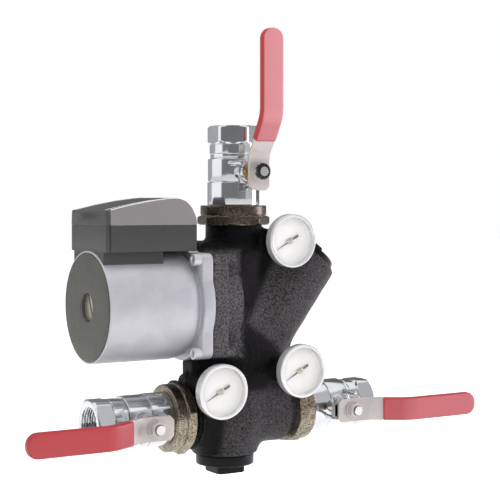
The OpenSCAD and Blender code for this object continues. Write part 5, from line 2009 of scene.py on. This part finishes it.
@dataclass(frozen=True)
class Gauge:
    """A dial thermometer: a pressed case with a rolled bezel, and its pointer."""

    name: str
    radius: float = 23.0
    depth: float = 9.0
    opening: float = 20.2
    lip: float = 1.2
    wall_r: float = 21.2
    dial_at: float = 6.0
    probe_r: float = 4.55

    def case(self) -> Patch:
        """The case: a rounded back edge, a straight side and a rolled front lip."""
        back, floor, face = -self.depth, 1.4 - self.depth, -0.02
        outline = profile(
            (self.probe_r, back), (self.radius - 0.5, back, 1.4), (self.radius, back + 2.0),
            (self.radius, -1.6), (self.radius, face, 1.5), (self.opening, face, 1.1),
            (self.opening, -self.lip), (self.wall_r, -self.lip), (self.wall_r, floor),
            (self.probe_r, floor),
        )
        return turned(outline, 160, closed=True)

    def pointer(self, angle: float) -> list[Patch]:
        """The pointer: a tapering blade, a broad tail, a domed hub and a small balance disc.

        Args:
            angle: direction of the tip in the dial's plane, anticlockwise from the right.

        Returns:
            Its closed surfaces in the thermometer's frame.
        """
        rest = -self.dial_at
        blade = np.array([[16.0, 0.13], [0.0, 0.75], [-4.2, 0.55], [-4.4, 1.05], [-9.0, 1.05]])
        outline = np.concatenate([blade * [1, -1], blade[::-1]])[::-1]
        levels = np.array([(0.0, rest + 1.0), (0.0, rest + 1.4), (0.05, rest + 1.5)])
        turn = math.radians(angle)
        spin = np.array([[math.cos(turn), math.sin(turn)], [-math.sin(turn), math.cos(turn)]])
        return [raised(outline @ spin, levels)]

    def hub(self, angle: float) -> list[Patch]:
        """The brass hub and the small disc beside it."""
        rest = -self.dial_at
        dome = profile(
            (0, rest + 0.8), (2.6, rest + 0.8, 0.2), (2.6, rest + 1.7, 0.5),
            (1.3, rest + 2.3, 0.6), (0, rest + 2.4),
        )
        small = profile(
            (0, rest + 0.9), (1.4, rest + 0.9, 0.2), (1.4, rest + 1.75, 0.3), (0, rest + 1.8)
        )
        turn = math.radians(angle - 24.0)
        beside = 3.3 * spot(math.cos(turn), math.sin(turn), 0.0)
        return [turned(dome, 64), turned(small, 40).shifted(beside)]

    def build(self, wardrobe: Wardrobe) -> None:
        """Makes the case and the pointer in place of their CAD nodes."""
        place, name = gauge_placement(self.name), self.name
        flat = place.drawn(skin(frame["nodes"][f"{name}_needle"])[0])[:, :2]
        tip = flat[np.argmax(np.linalg.norm(flat, axis=1))]
        angle = math.degrees(math.atan2(tip[1], tip[0]))
        moving = {"body": f"{name}_pointer", "crease": FINE_CREASE}
        case, hand = f"{name}_gauge_case", self.pointer(angle)
        wardrobe.make(
            f"{name}_bezel", [self.case()], place, "bezel_chrome", case, crease=FINE_CREASE
        )
        wardrobe.make(f"{name}_hand", hand, place, "needle_dark", f"{name}_needle", **moving)
        wardrobe.make(f"{name}_hub", self.hub(angle), place, "nickel", **moving)


# ---------- studio ----------


@dataclass(frozen=True)
class Studio:
    """The pale floor, the soft lights, the surroundings that metal reflects, and the camera."""

    floor_z: float = -0.46
    camera_at: tuple[float, float, float] = (-0.5848, -1.0138, -0.0652)
    lens: float = 95.3
    shift_y: float = -0.100
    around: tuple[tuple[float, float], ...] = (
        (-180.0, 0.16), (-128.0, 0.16), (-120.0, 0.5), (-62.0, 0.62), (-54.0, 0.3), (-8.0, 0.2),
        (52.0, 0.22), (56.0, 1.15), (109.0, 1.15), (113.0, 0.5), (150.0, 0.42), (180.0, 0.16),
    )
    lamps: tuple[tuple, ...] = (
        ("key_window", (-1.5, -1.5, 1.1), 1.3, 22.0, None),
        ("fill_window", (1.7, -1.2, 0.5), 1.5, 9.0, None),
        ("top_window", (0.1, 0.1, 1.7), 1.6, 14.0, None),
        ("side_glow", (1.54, -0.43, 0.0), 0.5, 9.0, (0.92, 0.8, 1.0)),
    )
    aim: tuple[float, float, float] = (0.0, 0.0, -0.17)

    def floor(self) -> None:
        """Makes the floor: a flat sheet, pale with a faint grain."""
        size, count = 9.0, 5
        across = np.linspace(-size, size, count)
        level = np.full((count, count), self.floor_z)
        grid = np.stack([*np.meshgrid(across, across, indexing="ij"), level], axis=-1)
        mesh = bpy.data.meshes.new("studio_floor")
        faces = Patch(grid).quads(0)[:, ::-1]
        mesh.from_pydata(grid.reshape(-1, 3).tolist(), [], faces.tolist())
        floor = put("studio_floor", mesh)
        floor.data.materials.append(self._floor_material())

    @staticmethod
    def _floor_material() -> bpy.types.Material:
        """A near-white matt floor that is a little lifted where it is looked at."""
        material = bpy.data.materials.new("pale_floor")
        graph = Graph.fresh(material)
        noise = graph.add(
            "ShaderNodeTexNoise", {"Vector": graph.place(), "Scale": 6.0, "Detail": 3.0}
        )
        shade = graph.blend(noise.outputs[0], tone(248, 248, 248), tone(252, 252, 252))
        matt = graph.add("ShaderNodeBsdfDiffuse", {"Color": shade, "Roughness": 0.6})
        seen, glossy = graph.seen_and_glossy()
        lifted = graph.maths("MAXIMUM", seen, graph.maths("MULTIPLY", glossy, 0.5))
        strength = graph.maths("MULTIPLY", lifted, 0.55)
        glow = graph.add("ShaderNodeEmission", {"Color": WHITE, "Strength": strength})
        both = graph.add("ShaderNodeAddShader", {0: matt.outputs[0], 1: glow.outputs[0]})
        graph.add("ShaderNodeOutputMaterial", {"Surface": both.outputs[0]})
        return material

    def surroundings(self) -> None:
        """Sets the world: white behind the object, plain light on it, soft panels in its gloss.

        The panels' brightness depends on the turn round the vertical from the direction of
        the front window, atan2(d·left, d·front), and is white overhead.
        """
        world = bpy.data.worlds.new("pale_studio")
        bpy.context.scene.world = world
        graph = Graph.fresh(world)
        direction = graph.add("ShaderNodeTexCoord").outputs["Generated"]
        front = (-math.sin(VIEW_TURN), -math.cos(VIEW_TURN), 0.0)
        left = (-math.cos(VIEW_TURN), math.sin(VIEW_TURN), 0.0)
        ahead, aside = (
            graph.add("ShaderNodeVectorMath", {0: direction, 1: way}, operation="DOT_PRODUCT")
            for way in (front, left)
        )
        turn = graph.maths("ARCTAN2", aside.outputs["Value"], ahead.outputs["Value"])
        share = graph.maths("MULTIPLY_ADD", turn, 1 / (2 * math.pi), 0.5)
        ramp = graph.add("ShaderNodeValToRGB", {0: share})
        stops = ramp.color_ramp.elements
        while len(stops) < len(self.around):
            stops.new(0.5)
        for stop, (angle, value) in zip(stops, self.around):
            stop.position = (angle + 180) / 360
            stop.color = (value, value, value * 1.02, 1.0)
        up = graph.add("ShaderNodeSeparateXYZ", {0: direction}).outputs["Z"]
        panels = graph.blend(graph.span(up, 0.70, 0.78), ramp.outputs[0], (1.1, 1.1, 1.1))
        gloss, plain, white = (
            graph.add("ShaderNodeBackground", {"Color": colour, "Strength": strength}).outputs[0]
            for colour, strength in ((panels, 1.0), (WHITE, 0.55), (WHITE, 1.0))
        )
        seen, glossy = graph.seen_and_glossy()
        lit = graph.add("ShaderNodeMixShader", {0: glossy, 1: plain, 2: gloss})
        final = graph.add("ShaderNodeMixShader", {0: seen, 1: lit.outputs[0], 2: white})
        graph.add("ShaderNodeOutputWorld", {"Surface": final.outputs[0]})

    def lamp(
        self, name: str, place: tuple[float, float, float], size: float, power: float,
        tint: Colour | None,
    ) -> None:
        """Adds one soft square lamp that faces the group.

        Args:
            name: its name.
            place: where it hangs, in metres.
            size: side of its square.
            power: its power in watts.
            tint: its colour, for a lamp that metal shows; the others are white and unseen.
        """
        light = bpy.data.lights.new(name, "AREA")
        light.shape = "SQUARE"
        light.size = size
        light.energy = power
        light.color = tint or (1.0, 1.0, 1.0)
        lamp = put(name, light)
        lamp.location = place
        aim = np.array(self.aim) - np.array(place)
        aim /= np.linalg.norm(aim)
        lamp.rotation_mode = "QUATERNION"
        lamp.rotation_quaternion = Vector(aim).to_track_quat("-Z", "Y")
        lamp.visible_glossy = tint is not None

    def camera(self) -> None:
        """Adds the level camera and makes it the scene's own."""
        data = bpy.data.cameras.new("studio_camera")
        data.lens = self.lens
        data.sensor_width = 36.0
        data.shift_y = self.shift_y
        data.clip_end = 50.0
        camera = put("studio_camera", data)
        camera.location = self.camera_at
        camera.rotation_euler = (math.radians(90.0), 0.0, -VIEW_TURN)
        bpy.context.scene.camera = camera

    def build(self) -> None:
        """Sets up the whole studio."""
        self.camera()
        self.floor()
        self.surroundings()
        for lamp in self.lamps:
            self.lamp(*lamp)


def slant_plug_placement(housing: Housing) -> Placement:
    """The frame of the slanted tube's rim, its third axis along the tube."""
    axis = housing.slant_axis
    origin = crossing_placement().metres(housing.on_slant(housing.slant_len))
    return Placement(origin, np.cross(Y_AXIS, axis), Y_AXIS, axis)


def bottom_plug_placement(housing: Housing) -> Placement:
    """The frame of the lower tube's rim, its third axis straight down."""
    low, high = extent("bottom_plug")
    height = crossing_placement().metres(spot(0.0, 0.0, housing.tube_low))[2]
    middle = (low + high) / 2
    return Placement(spot(middle[0], middle[1], height), X_AXIS, -Y_AXIS, -Z_AXIS)


def fold_spring() -> None:
    """Gives the thermostat's spring a mesh of its own."""
    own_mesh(frame["nodes"]["thermostat_spring"])


def main() -> None:
    """Builds the studio and every sub-assembly in order."""
    logging.basicConfig(level=logging.INFO, format="%(message)s")
    scene = bpy.context.scene
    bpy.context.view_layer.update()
    Studio().build()
    wardrobe = Wardrobe()
    wardrobe.dress_nodes()
    fold_spring()
    housing = Housing()
    housing.build(wardrobe)
    lower = Plug("lower_plug", "bottom_plug", flange_len=9.0, square=26.8, square_len=7.5)
    lower.build(wardrobe, bottom_plug_placement(housing))
    rear = Plug("rear_plug", "slant_plug", flange_len=6.0, square=17.0, square_len=8.0)
    rear.build(wardrobe, slant_plug_placement(housing))
    Motor().build(wardrobe)
    TerminalBox().build(wardrobe)
    valves = (
        BallValve("top", toothed=True, front_sheen=0.85),
        BallValve("left", front_sheen=0.2),
        BallValve("right", front_sheen=0.45),
    )
    for valve in valves:
        valve.build(wardrobe)
    Unions(valves).build(wardrobe)
    for name in ("upper", "left", "right"):
        Gauge(name).build(wardrobe)
    scene.view_settings.view_transform = "Standard"


if __name__ == "__main__":
    main()
